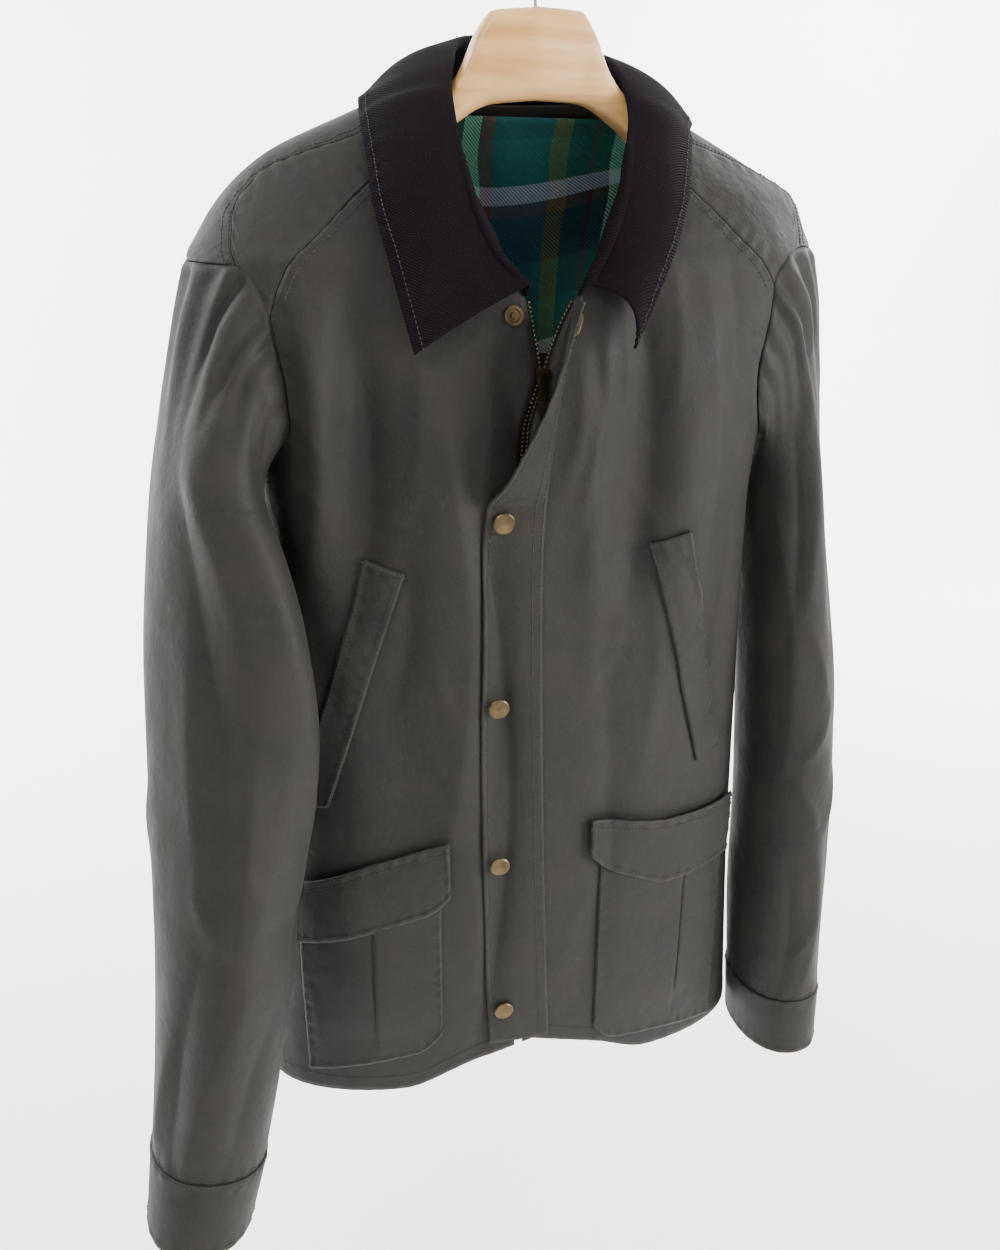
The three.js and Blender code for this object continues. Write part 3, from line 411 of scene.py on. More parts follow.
def cloth(name, grid, thickness, finish, core, seams="", loop=False,
          roll=0.12, wide=5.0, wear_and_ridge_highlight=None):
    """Makes the piece that stands for the node of its name, and returns its outer face.

    seams names the stitched borders: t, b, l and r. roll is how high the turned border stands up
    and wide is how far in it does, in millimetres. core is a point or line inside the jacket.
    """
    normal = outward(grid, core, loop)
    down, over = lengths(grid, 0), lengths(grid, 1)
    borders = {"t": (down, over), "b": (down[-1:] - down, over),
               "l": (over, down), "r": (over[:, -1:] - over, down)}
    relief = np.zeros(grid.shape[:2])
    rubbed_and_ridge_highlight = np.zeros(grid.shape[:2])
    for key in seams:
        away, run = borders[key]
        uneven = np.sin(run / 2.1 + 2.2 * np.sin(run / 17) + 1.4 * np.sin(run / 41 + 1))
        stands = np.exp(-((away - wide * 0.8) / (wide * 0.5)) ** 2)
        sinks = 0.6 * np.exp(-away ** 2)
        puckers = 0.45 * uneven * np.exp(-((away - wide) / (wide * 1.1)) ** 2)
        relief += roll * (stands - sinks) + puckers * (0.6 + 0.4 * np.sin(run / 53))
        patches = 0.55 + 0.45 * np.sin(run / 13 + 3 * np.sin(run / 37))
        rubbed_and_ridge_highlight += np.exp(-((away - 1.6) / 1.3) ** 2) * patches
    outer = grid + normal * (relief + thickness / 2)[..., None]
    inner = grid + normal * (relief - thickness / 2)[..., None]
    rows, columns = grid.shape[:2]
    ids = np.arange(rows * columns).reshape(rows, columns)
    if loop:
        ids = np.concatenate([ids, ids[:, :1]], 1)
    front = np.stack([ids[:-1, :-1], ids[1:, :-1], ids[1:, 1:], ids[:-1, 1:]], -1).reshape(-1, 4)
    count = rows * columns
    faces = [front, front[:, ::-1] + count]
    for edge in ([ids[0], ids[-1]] if loop else [ids[0], ids[-1], ids[:, 0], ids[:, -1]]):
        faces.append(np.stack([edge[:-1], edge[1:], edge[1:] + count, edge[:-1] + count], -1))
    points = place(np.concatenate([outer.reshape(-1, 3), inner.reshape(-1, 3)]))
    piece = mesh_object(name, points.tolist(), np.concatenate(faces).tolist(), finish)
    shape = bmesh.new()
    shape.from_mesh(piece.data)
    bmesh.ops.recalc_face_normals(shape, faces=shape.faces)
    shape.to_mesh(piece.data)
    shape.free()
    mesh = piece.data
    # An extra share from the caller paints a highlight along crease ridges, on top of the rubbed seam
    # edges.
    if wear_and_ridge_highlight is not None:
        rubbed_and_ridge_highlight = rubbed_and_ridge_highlight + wear_and_ridge_highlight
    layer = mesh.attributes.new("wear_and_ridge_highlight", "FLOAT", "POINT")
    layer.data.foreach_set("value", np.tile(np.clip(rubbed_and_ridge_highlight, 0, 1).ravel(), 2).astype(np.float32))
    flat_map = np.stack([over - over.mean(1, keepdims=True), -down], -1).reshape(-1, 2) / 1000
    corner = np.empty(len(mesh.loops), dtype=np.int32)
    mesh.loops.foreach_get("vertex_index", corner)
    chart = mesh.uv_layers.new(name="cloth_map")
    chart.data.foreach_set("uv", np.tile(flat_map, (2, 1))[corner].ravel().astype(np.float32))
    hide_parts(name)
    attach(piece, "jacket")
    return outer + normal * THREAD_CLEAR


def grid_steps(rows, columns, last_row, last_column):
    return np.meshgrid(np.linspace(0, last_row, rows), np.linspace(0, last_column, columns),
                       indexing="ij")


stitch_lines = []


def stitch(outer, side, away, first=0.0, last=1.0):
    """Adds a line of topstitching on a piece's outer face, at a distance from one border."""
    grid = {"t": outer, "b": outer[::-1], "l": outer.swapaxes(0, 1),
            "r": outer[:, ::-1].swapaxes(0, 1)}[side]
    depth = lengths(grid, 0)
    line = []
    for k in range(int(first * (grid.shape[1] - 1)), int(last * (grid.shape[1] - 1)) + 1):
        line.append([np.interp(away, depth[:, k], grid[:, k, i]) for i in range(3)])
    stitch_lines.append(np.array(line))


# Seams. Where the pieces of the body meet: angle round the form (0 centre front, 180 centre back)
# and height, for the wearer's right and left, at numbered steps that neighbouring pieces share.
NECK = table("step right right_z left left_z", [
    (0, 2.1, 0, 2.1, 0), (2, 6, 33, 6, 33), (4, 13, 66, 13, 66), (6, 24, 95, 24, 95),
    (8, 44, 114, 44, 114), (10, 90, 130, 90, 130), (12, 138, 124, 138, 124), (14, 180, 122, 180, 122)])
RAGLAN = table("step right right_z left left_z", [
    (0, 26, 97, 26, 97), (2, 33, 68, 28, 70), (4, 38, 35, 33, 44), (7, 46.9, -16, 42, 4)])
FORWARD = table("step right right_z left left_z", [
    (0, 44, 114, 44, 114), (2, 50, 94, 50, 96), (3, 60, 84, 60, 88), (4, 69, 73, 69, 78),
    (5, 69, 57, 70, 63), (6, 63, 37, 66, 46), (7, 55.5, 16, 59, 28)])
ARMHOLE = table("step right right_z left left_z", [
    (0, 90, 17, 90, 24), (3, 55.5, 16, 59, 28), (6, 46.9, -16, 42, 4), (8, 48, -45, 41.5, -32),
    (10, 52, -80, 47, -72), (12, 68, -106, 66, -104), (13, 90, -112, 90, -112),
    (14, 110, -104, 110, -104), (16, 124, -72, 124, -72), (18, 126, -38, 126, -38),
    (19, 122, -12, 122, -12), (20, 115, 3, 115, 5), (22, 90, 17, 90, 24)])
HEM = table("x z", [(0, -618), (60, -636), (110, -656), (180, -660), (240, -664)])
ZIP = table("z x open", [
    (-620, -12, 0), (-450, -18, 0), (-300, -21, 0), (-165, -20, 0), (-90, -17, 0), (-52, -7, 0),
    (-25, -4, 6), (5, 1, 17)])
FORWARD_STEP, RAGLAN_STEP, UNDERARM, YOKE_STEP, ARM_COUNT = 3, 6, 13, 19, 22
SEAM_STEPS, NECK_STEPS, NECK_RAGLAN, NECK_FORWARD = 7, 14, 6, 8
UNDERARM_Z, YOKE_Z, YOKE_ANGLE, EDGE_Z, EDGE_TOP_Z, SIDE_X = -112, -12, 122, -16, -2, 236
CLOTH = 1.4
SEAM, SEAM_TURN = 0.25, 0.15


def hem_z(x):
    return read(HEM, "x", "z", np.abs(x))


def seam_at(line, side, step):
    name = "right" if side < 0 else "left"
    return side * read(line, "step", name, step), read(line, "step", name + "_z", step)


def front_edge(side, z):
    x = read(ZIP, "z", "x", z) + side * (3 + read(ZIP, "z", "open", z))
    return angle_at(x, z)


def neck_place(side, step):
    meets = 1.5
    angle, z = seam_at(NECK, side, step)
    edge = front_edge(side, z + EDGE_TOP_Z)
    t = np.clip(step / meets, 0, 1)
    return lerp(edge, angle, t), lerp(z + EDGE_TOP_Z, z, t)


# Fronts. Two fronts, each cut in one piece from the slanting shoulder seam to the hem and turned
# under at the zip. The slanting seam is felled, with two rows of stitching, and the hem is turned
# up 15 mm.
for name, side in (("right", -1), ("left", 1)):
    columns, arm_rows, side_steps, slope = 14, UNDERARM - RAGLAN_STEP, 10, 40
    last = SEAM_STEPS + arm_rows + side_steps
    r, c = grid_steps(270, 80, last, columns)
    t = c / columns
    below = np.clip((r - SEAM_STEPS - arm_rows) / side_steps, 0, 1)
    arm = np.clip(r - SEAM_STEPS, 0, arm_rows)
    raglan_angle, raglan_z = seam_at(RAGLAN, side, np.minimum(r, SEAM_STEPS))
    arm_angle, arm_z = seam_at(ARMHOLE, side, arm + RAGLAN_STEP)
    upper = r <= SEAM_STEPS
    far_angle = np.where(upper, raglan_angle, arm_angle)
    far_z = np.where(upper, raglan_z, lerp(arm_z, hem_z(SIDE_X), below))
    edge_z = lerp(lerp(EDGE_Z, UNDERARM_Z - slope, arm / arm_rows), hem_z(0.0), below)
    edge_z = np.where(upper & (r > NECK_RAGLAN), lerp(EDGE_TOP_Z, EDGE_Z, r - NECK_RAGLAN), edge_z)
    neck_angle, neck_z = neck_place(side, np.clip(NECK_RAGLAN - r, 0, None))
    on_neck = r < NECK_RAGLAN
    near_angle = np.where(on_neck, neck_angle, front_edge(side, edge_z))
    near_z = np.where(on_neck, np.minimum(neck_z, far_z - 0.4), edge_z)
    open_turn = side * math.degrees(SEAM / 190)
    angle = lerp(near_angle + open_turn, far_angle - open_turn, t)
    z = lerp(near_z, far_z, t)
    x = surface(angle, z)[..., 0]
    z = z + below * (hem_z(x) - lerp(hem_z(0.0), hem_z(SIDE_X), t))
    grid = on_body(angle, z, -CLOTH / 2)
    outer = cloth(f"front_{name}", grid, CLOTH, waxed_cotton, (0, 40, -300), "br", wide=6)
    stitch(outer, "b", 14, 0.0, 1.0)
    stitch(outer, "r", 2.5, 0.0, 0.29)
    stitch(outer, "r", 8, 0.0, 0.29)

# Back. One piece from the yoke's seam to the hem, hung from the yoke and turned up at the hem.
columns, arm_rows, side_steps, sag = 18, YOKE_STEP - UNDERARM, 10, 60
r, c = grid_steps(210, 132, arm_rows + side_steps, columns)
t = c / columns
edge_angle, edge_z = seam_at(ARMHOLE, 1, np.maximum(YOKE_STEP - r, UNDERARM))
edge_angle = np.where(r > arm_rows, 90, edge_angle) + SEAM_TURN / 2
angle = lerp(edge_angle, 360 - edge_angle, t)
middle = sag * np.minimum(1, r / arm_rows) * np.sin(math.pi * t)
x = surface(angle, np.full_like(angle, -618.0))[..., 0]
down = np.clip((r - arm_rows) / side_steps, 0, 1)
z = lerp(np.where(r > arm_rows, UNDERARM_Z, edge_z) - middle, hem_z(x), down) - SEAM * (r == 0)
grid = on_body(angle, z, -CLOTH / 2)
outer = cloth("back", grid, CLOTH, waxed_cotton, (0, -40, -300), "tb", wide=6)
stitch(outer, "b", 14)

# Back yoke. One piece over both shoulders to the seams in front of them, felled to the back with
# two rows.
YOKE_HALF, YOKE_SIDE = 12, 6
r, c = grid_steps(96, 230, SEAM_STEPS, 2 * YOKE_HALF)
station = c - YOKE_HALF
mirror = np.where(station < 0, 1, -1)
k = YOKE_HALF - np.abs(station)
t = r / SEAM_STEPS
angle = np.zeros_like(r)
z = np.zeros_like(r)
for side in (1, -1):
    pick = mirror == side
    neck_angle, neck_z = seam_at(NECK, side, lerp(NECK_FORWARD, NECK_STEPS, k / YOKE_HALF))
    arm = np.where(k <= FORWARD_STEP, FORWARD_STEP - k, ARM_COUNT + FORWARD_STEP - k)
    arm_angle, arm_z = seam_at(ARMHOLE, side, arm)
    share = np.clip((k - YOKE_SIDE) / (YOKE_HALF - YOKE_SIDE), 0, 1)
    outer_angle = np.where(k <= YOKE_SIDE, arm_angle, side * lerp(YOKE_ANGLE, 180, share))
    outer_z = np.where(k <= YOKE_SIDE, arm_z, YOKE_Z)
    seam_angle, seam_z = seam_at(FORWARD, side, r)
    ends = [seam_at(FORWARD, side, step) for step in (0, SEAM_STEPS)]
    pull = np.maximum(0, 1 - k / FORWARD_STEP)
    a = lerp(neck_angle, outer_angle, t) + pull * (seam_angle - lerp(ends[0][0], ends[1][0], t))
    a += np.where(k == 0, SEAM_TURN * side, 0) + (360 if side < 0 else 0)
    h = lerp(neck_z, outer_z, t) + pull * (seam_z - lerp(ends[0][1], ends[1][1], t))
    angle = np.where(pick, a, angle)
    z = np.where(pick, h, z)
z = z + SEAM * (r == SEAM_STEPS)
grid = on_body(angle, z, -CLOTH / 2)
outer = cloth("back_yoke", grid, CLOTH, waxed_cotton, (0, -20, 20), "blr", wide=6)
stitch(outer, "b", 2.5, 0.26, 0.74)
stitch(outer, "b", 9, 0.26, 0.74)
for border in "lr":
    stitch(outer, border, 2)
    stitch(outer, border, 8)

# Front yokes. A narrow band on each shoulder between the yoke's seam and the slanting seam of the
# front.
for name, side in (("right", -1), ("left", 1)):
    r, c = grid_steps(30, 110, 3, SEAM_STEPS)
    step = c if side > 0 else SEAM_STEPS - c
    high_angle, high_z = seam_at(FORWARD, side, step)
    low_angle, low_z = seam_at(RAGLAN, side, step)
    turn = side * SEAM_TURN
    t = r / 3
    arm_angle, arm_z = seam_at(ARMHOLE, side, FORWARD_STEP + r)
    end = np.clip((step - SEAM_STEPS + 1), 0, 1) ** 2
    angle = lerp(high_angle - turn, low_angle + turn, t)
    z = lerp(high_z - SEAM, low_z + SEAM, t)
    angle = lerp(angle, arm_angle + turn * (2 * t - 1), end)
    z = lerp(z, lerp(arm_z - SEAM, arm_z + SEAM, t), end)
    grid = on_body(angle, z, -CLOTH / 2)
    cloth(f"front_yoke_{name}", grid, CLOTH, waxed_cotton, (0, 40, 0), "tb", wide=5)

# Sleeves and cuffs. One-piece sleeves, eased into the armhole with small gathers, that fold where
# the elbow has bent them, and bands 50 mm deep of the same cloth at the wrists.
ROWS = "x y fall thin wide turn"
SLEEVES = {
    "right": table(ROWS, [
        (236, -40, 150, 34, 62, 16), (236, -72, 250, 40, 62, 36), (238, -98, 350, 45, 60, 38),
        (245, -120, 450, 47, 59, 28), (257, -141, 540, 45, 57, 16), (271, -158, 620, 42, 53, 5),
        (282, -170, 672, 38, 51, 0)]),
    "left": table(ROWS, [
        (225, -16, 150, 31, 64, 4), (236, -32, 250, 33, 62, 6), (245, -44, 350, 36, 60, 6),
        (250, -52, 450, 37, 58, 4), (252, -60, 550, 37, 56, 0), (254, -68, 630, 36, 53, 0),
        (255, -74, 684, 35, 51, 0)])}

# Creases of the sleeves: turn round the sleeve in degrees (0 outside, 90 in front, 180 inside) and
# depth below the neck, start and end, then half width and height.
ARM_CREASES = {
    "right": [
        (60, -10, 66, 60, 7, 3.0), (48, -14, 50, 50, 6, -2.4), (78, 0, 74, 90, 7, 2.6),
        (30, -14, 26, 70, 8, 2.4), (92, 60, 72, 250, 12, 3.6), (60, 120, 52, 330, 16, -4.6),
        (84, 250, 74, 470, 12, 3.6), (36, 200, 30, 420, 12, 3.2), (110, 120, 118, 300, 10, -3.4),
        (130, 150, 128, 380, 10, 3.8), (108, 60, 114, 360, 24, 13), (96, 300, 100, 640, 24, 5),
        (128, -20, 128, 430, 34, 24), (100, 330, 140, 390, 8, 2.8), (60, 380, 96, 430, 8, 2.6),
        (22, 400, 62, 450, 8, 2.8), (84, 470, 60, 640, 13, 3.2), (40, 440, 46, 620, 13, -3.6),
        (110, 480, 100, 640, 10, -2.8), (20, 510, 24, 650, 10, 2.8), (130, 440, 150, 500, 8, 2.4),
        (70, 560, 104, 600, 7, 1.8), (200, 160, 210, 400, 16, 4.0), (250, 120, 240, 330, 16, -4.0),
        (300, 60, 290, 280, 16, 4.0), (230, 330, 280, 400, 10, 3.2), (330, 340, 300, 430, 10, 3.0),
        (260, 430, 250, 640, 14, 3.4), (310, 440, 320, 640, 14, -3.4), (210, 440, 204, 640, 12, -3.0)],
    "left": [
        (64, -20, 70, 50, 7, 2.8), (48, -20, 52, 44, 6, -2.4), (90, 10, 84, 110, 8, 3.0),
        (30, -10, 34, 80, 8, 2.6), (80, 60, 96, 260, 13, 4.0), (108, 80, 120, 290, 12, -4.0),
        (50, 90, 56, 300, 14, -3.4), (24, 140, 30, 360, 12, 3.0), (130, 160, 120, 400, 11, 3.4),
        (90, 270, 70, 340, 8, 2.6), (60, 330, 100, 390, 9, 3.0), (110, 400, 80, 450, 8, 2.6),
        (40, 400, 70, 460, 8, 2.4), (84, 430, 92, 640, 13, 3.6), (60, 460, 54, 650, 12, -3.2),
        (116, 470, 122, 640, 10, -3.0), (30, 480, 28, 650, 11, 2.8), (74, 540, 108, 590, 7, 2.0),
        (200, 160, 206, 420, 15, 3.6), (240, 120, 250, 340, 16, -4.0), (300, 60, 296, 300, 16, 4.0),
        (220, 350, 270, 420, 10, 3.0), (320, 360, 290, 440, 10, 3.0), (256, 450, 250, 650, 14, 3.4),
        (310, 440, 316, 650, 14, -3.2)]}
SLEEVE_ROUND, CUFF_EASE, CUFF_WALL = 2.2, 0.9, 2.0


def unit(v):
    return v / np.maximum(np.linalg.norm(v, axis=-1, keepdims=True), 1e-9)


def sleeve_ring(side, rows, fall, ease, theta):
    def centre(at):
        return np.array([side * read(rows, "fall", "x", at), read(rows, "fall", "y", at), -at])
    axis = unit(centre(fall + 8) - centre(fall - 8))
    turn = math.radians(read(rows, "fall", "turn", fall))
    out = np.array([side * math.cos(turn), -math.sin(turn), 0])
    out = unit(out - axis * out.dot(axis))
    ahead = unit(np.cross(axis, out)) * side
    thin = read(rows, "fall", "thin", fall) + ease
    wide = read(rows, "fall", "wide", fall) + ease
    return (centre(fall) + out * (thin * power(np.cos(theta), 2 / SLEEVE_ROUND))[:, None]
            + ahead * (wide * power(np.sin(theta), 2 / SLEEVE_ROUND))[:, None]), centre(fall)


RING_POINTS, HEAD_RINGS, ARM_RINGS = 120, 46, 150
EASED, EASE_PASSES = slice(12, 90), 160
GATHER_HEIGHT = 2.2
arm_steps = np.arange(RING_POINTS) * ARM_COUNT / RING_POINTS
theta = math.pi * np.where(arm_steps <= UNDERARM, arm_steps / UNDERARM,
                           1 + (arm_steps - UNDERARM) / (ARM_COUNT - UNDERARM))
for name, side in (("right", -1), ("left", 1)):
    rows = SLEEVES[name]
    start, seam, end = rows["fall"][0], rows["fall"][-2], rows["fall"][-1]
    first, _ = sleeve_ring(side, rows, start, 0, theta)
    following, _ = sleeve_ring(side, rows, start + 10, 0, theta)
    armhole_angle, armhole_z = seam_at(ARMHOLE, side, arm_steps)
    from_arm = on_body(armhole_angle, armhole_z, -CLOTH / 2)
    low = np.minimum(1, 1 - np.cos(theta))
    leave = unit(np.stack([side * (0.3 + 0.6 * low), -0.15 * np.sin(theta), 0.5 * low - 0.95], -1))
    away = from_arm + leave * (0.5 + 1.4 * np.maximum(0, -np.cos(theta)))[:, None]
    reach = 0.8 * np.linalg.norm(away - first, axis=-1, keepdims=True)
    arrive = unit(following - first) * reach
    rings, cores, falls = [], [], []
    for t in np.linspace(0, 1, HEAD_RINGS)[:-1]:
        rings.append((1 + 2 * t) * (1 - t) ** 2 * away + t * (1 - t) ** 2 * leave * reach
                     + t * t * (3 - 2 * t) * first + t * t * (t - 1) * arrive)
        cores.append(rings[-1].mean(0))
        falls.append(-rings[-1][:, 2])
    for fall in np.linspace(start, seam, ARM_RINGS):
        ring, core = sleeve_ring(side, rows, fall, 0, theta)
        rings.append(ring)
        cores.append(core)
        falls.append(np.full(RING_POINTS, fall))
    grid, cores, falls = np.array(rings), np.array(cores)[:, None, :], np.array(falls)
    for _ in range(EASE_PASSES):
        between = 0.5 * (np.roll(grid, 1, 0) + np.roll(grid, -1, 0))
        grid[EASED] += 0.5 * (between - grid)[EASED]
    degrees = np.degrees(theta)[None, :] + np.zeros_like(falls)
    relief = np.zeros_like(falls)
    for crease in ARM_CREASES[name]:
        for lap in (-360, 0, 360):
            relief += ridge(*crease, degrees + lap, falls)
    run = np.linspace(0, 1, grid.shape[0])[:, None]
    quiet = np.clip(run / 0.04, 0, 1) * np.clip((1 - run) / 0.03, 0, 1)
    gathers = np.sin(np.degrees(theta) / 3.1 + 2 * np.sin(theta * 3))[None, :]
    gathers = GATHER_HEIGHT * gathers * np.exp(-(run / 0.1) ** 2) * np.clip(run / 0.01, 0, 1)
    inside = np.clip(-np.cos(theta), 0, 1)[None, :]
    relief = relief * (1 - 0.55 * inside) * quiet + gathers * (1 - inside)
    grid = grid + outward(grid, cores, True) * relief[..., None]
    # Crease ridges higher than 2.2 mm are painted paler: a painted highlight on the ridges, and wear.
    outer = cloth(f"sleeve_{name}", grid, CLOTH, waxed_cotton, cores, "tb", loop=True, wide=5,
                  wear_and_ridge_highlight=np.clip(relief - 2.2, 0, 2) * 0.1)
    stitch(np.concatenate([outer, outer[:, :1]], 1), "b", 3)
    cuff, cuff_cores = [], []
    for fall in np.linspace(seam + 0.3, end, 40):
        ring, core = sleeve_ring(side, rows, fall, CUFF_EASE, theta)
        cuff.append(ring)
        cuff_cores.append(core)
    cuff, cuff_cores = np.array(cuff), np.array(cuff_cores)[:, None, :]
    outer = cloth(f"cuff_{name}", cuff, CUFF_WALL, waxed_cotton, cuff_cores, "tb", loop=True, wide=4)
    closed = np.concatenate([outer, outer[:, :1]], 1)
    stitch(closed, "t", 2.5)
    stitch(closed, "b", 4)

# Ribbed collar. Fine ribbed cord in a dark aubergine brown: each rib is about 2.3 mm wide, slants
# across the collar and is painted paler at its crest and darker in the groove, a painted highlight
# and painted shade. The collar stands from the neck seam, folds over and lies open.
collar_cord, tree = new_finish("ribbed_cotton_cord")
RIB_WIDTH, RIB_SLANT, RIB_WANDER = 0.0023, 0.35, 0.0012
chart = cloth_chart(tree)
split = add_node(tree, "ShaderNodeSeparateXYZ", links={"Vector": chart})
lean = calculate(tree, "MULTIPLY_ADD", split.outputs["Y"], RIB_SLANT, split.outputs["X"])
bent = calculate(tree, "MULTIPLY_ADD", noise(tree, chart, 30.0), RIB_WANDER, lean)
wave = calculate(tree, "SINE", calculate(tree, "MULTIPLY", bent, 2 * math.pi / RIB_WIDTH))
crest = remap(tree, wave, 0.0, 1.0, -1.0, 1.0)
fuzz = noise(tree, chart, 900.0, 3.0)
# Painted highlight on the rib crests and painted shade in the grooves between them.
tone = two_tones(tree, crest, "#0a060a", "#160d14")
tone = mixed(tree, remap(tree, fuzz, 0.0, 0.6, 0.5, 0.85), tone, "#1d131a")
dress(tree, {"Roughness": 0.9, "Specular IOR Level": 0.1},
      {"Base Color": tone, "Normal": bump(tree, fuzz, 0.4, 0.0003, bump(tree, crest, 0.9, 0.0009))})

COLLAR = table("step fold_x fold_y fold_z edge_x edge_y edge_z bulge", [
    (-14, -17, -115, 7, -94, -121, -36, 3), (-12, -41, -114, 30, -105, -113, 10, 5),
    (-10, -53, -103, 63, -114, -88, 60, 8), (-8, -56, -80, 94, -114, -64, 88, 10),
    (-6, -54, -50, 120, -113, -38, 106, 10), (-4, -46, -18, 142, -109, -6, 119, 10),
    (-2, -32, 24, 160, -88, 48, 116, 9), (0, 6, 46, 168, 8, 80, 96, 7),
    (2, 50, 26, 160, 106, 50, 114, 9), (4, 71, -16, 142, 130, -5, 111, 10),
    (6, 68, -48, 118, 119, -40, 103, 9), (8, 61, -76, 92, 107, -72, 79, 8),
    (10, 51, -98, 62, 97, -94, 56, 7), (12, 38, -112, 32, 81, -112, 22, 8),
    (14, 24, -116, 9, 54, -126, -33, 14)])
COLLAR_WALL = 2.0
steps = np.linspace(-NECK_STEPS, NECK_STEPS, 210)
foot = np.empty((len(steps), 3))
for side in (-1, 1):
    pick = steps <= 0 if side < 0 else steps > 0
    foot_angle, foot_z = neck_place(side, NECK_STEPS - np.abs(steps[pick]))
    foot[pick] = on_body(foot_angle, foot_z, -CLOTH / 2)
fold = np.stack([read(COLLAR, "step", "fold_" + k, steps) for k in "xyz"], -1)
edge = np.stack([read(COLLAR, "step", "edge_" + k, steps) for k in "xyz"], -1)
bulge = read(COLLAR, "step", "bulge", steps)[:, None]
rise, fallen = unit(fold - foot), unit(edge - fold)
base = foot + rise * 1.8
apart = unit(fallen - rise * np.sum(fallen * rise, -1, keepdims=True))
inside = fold - rise * 3.2 - apart * 1.2
outside = fold + apart * 3.2 - rise * 1.2
lift = unit(rise - fallen * np.sum(rise * fallen, -1, keepdims=True))
lines = [base + (inside - base) * t for t in np.linspace(0, 1, 22)]
crown = fold * 1.5 - (inside + outside) * 0.25
lines += [(1 - t) ** 2 * inside + 2 * t * (1 - t) * crown + t * t * outside
          for t in np.linspace(0, 1, 9)[1:-1]]
lines += [outside + (edge - outside) * t + lift * bulge * 4 * t * (1 - t)
          for t in np.linspace(0, 1, 60)]
grid = np.array(lines)
span = lengths(grid, 0)
ripple = 0.9 * np.sin(steps * 1.7 + 0.6) + 0.6 * np.sin(steps * 3.9 + 1)
ripple = ripple[None, :] * np.clip(span / 60 - 0.5, 0, 1)
grid = grid + lift[None] * ripple[..., None]
outer = cloth("collar", grid, COLLAR_WALL, collar_cord, (0, -20, 90), "b", wide=7)
stitch(outer, "b", 7)

# Lining. Twill check of the inside back, seen through the neck: an ordinary check of green,
# olive, mint and brown stripes crossed by pale blue, maroon and navy. Stripe widths are in
# millimetres.
check_twill, tree = new_finish("checked_cotton_twill")
split = add_node(tree, "ShaderNodeSeparateXYZ", links={"Vector": cloth_chart(tree)})
STRIPES = {
    "X": (0.118, 0.0, [(0, "#1a5a60"), (46, "#5a6834"), (60, "#144a40"), (78, "#45302a"),
                       (82, "#16503e"), (94, "#80c8a6"), (107, "#5f3f31")]),
    "Y": (0.125, 0.017, [(0, "#164a4c"), (30, "#161f44"), (66, "#4c2634"), (76, "#a0a6c2"),
                         (90, "#145c56")])}
stripe_colours = {}
for axis, (period, shift, stops) in STRIPES.items():
    moved = calculate(tree, "ADD", split.outputs[axis], shift)
    share = calculate(tree, "FRACT", calculate(tree, "MULTIPLY", moved, 1 / period))
    ramp = add_node(tree, "ShaderNodeValToRGB", links={"Fac": share})
    ramp.color_ramp.interpolation = "CONSTANT"
    ramp.color_ramp.elements[0].color = linear(stops[0][1])
    ramp.color_ramp.elements.remove(ramp.color_ramp.elements[1])
    for at, colour in stops[1:]:
        ramp.color_ramp.elements.new(at / 1000 / period).color = linear(colour)
    stripe_colours[axis] = ramp.outputs["Color"]
TWILL_LINE = 0.0028
slant = calculate(tree, "ADD", split.outputs["X"], split.outputs["Y"])
twill = calculate(tree, "SINE", calculate(tree, "MULTIPLY", slant, 2 * math.pi / TWILL_LINE))
woven = mixed(tree, remap(tree, twill, 0.14, 0.86, -1.0, 1.0), stripe_colours["X"], stripe_colours["Y"])
dress(tree, {"Roughness": 0.92, "Specular IOR Level": 0.3, "Sheen Weight": 0.05},
      {"Base Color": woven, "Normal": bump(tree, twill, 0.4, 0.0004)})
r, c = grid_steps(40, 80, 1, 1)
edge = lerp(122, 128, r)
LINING_WALL, LINING_CLEAR, LINING_TOP, LINING_END = 1.0, 1.7, 116, -64
clear = CLOTH + LINING_CLEAR + LINING_WALL / 2
grid = on_body(lerp(360 - edge, edge, c), lerp(LINING_TOP, LINING_END, r), -clear)
cloth("lining_back", grid, LINING_WALL, check_twill, (0, -40, 0))

# Storm flap. A band of the same cloth, 44 mm wide, sewn to the left front with two rows of
# stitching. It lies flat over the zip and stands out at its top, where no snap holds it.
FLAP = table("z seam width lift", [
    (-613, 14, 52, 0), (-446, 6, 50, 0), (-292, 0, 47, 0), (-175, -3, 44, 0), (-142, -2, 43, 4),
    (-115, 0, 42, 34), (-60, 7, 42, 64), (0, 19, 42, 76)])
LAID = 0.9


def flap_point(z, across, out):
    seam = read(FLAP, "z", "seam", z)
    width = read(FLAP, "z", "width", z) * across
    turn = np.radians(read(FLAP, "z", "lift", z))
    root, flat = on_front(seam, z, out), on_front(seam - width, z, out)
    bent = root + np.stack([-width * np.cos(turn), -width * np.sin(turn), np.zeros_like(z)], -1)
    return lerp(flat, bent, np.minimum(1, turn / 0.25)[..., None])


r, c = grid_steps(260, 22, 1, 1)
grid = flap_point(lerp(EDGE_TOP_Z, hem_z(0.0) + 3, r), 1 - c, LAID + CLOTH / 2)
edge_wave = 0.9 * np.sin(r * 21 + 1.3 * np.sin(r * 9)) * (1 - c) ** 2
grid = grid + np.stack([0 * r, -np.clip(edge_wave, -0.2, 1), 0 * r], -1)
outer = cloth("storm_flap", grid, CLOTH, waxed_cotton, (0, 60, -300), "lrb", wide=4)
stitch(outer, "r", 2)
stitch(outer, "r", 8)
stitch(outer, "l", 5)


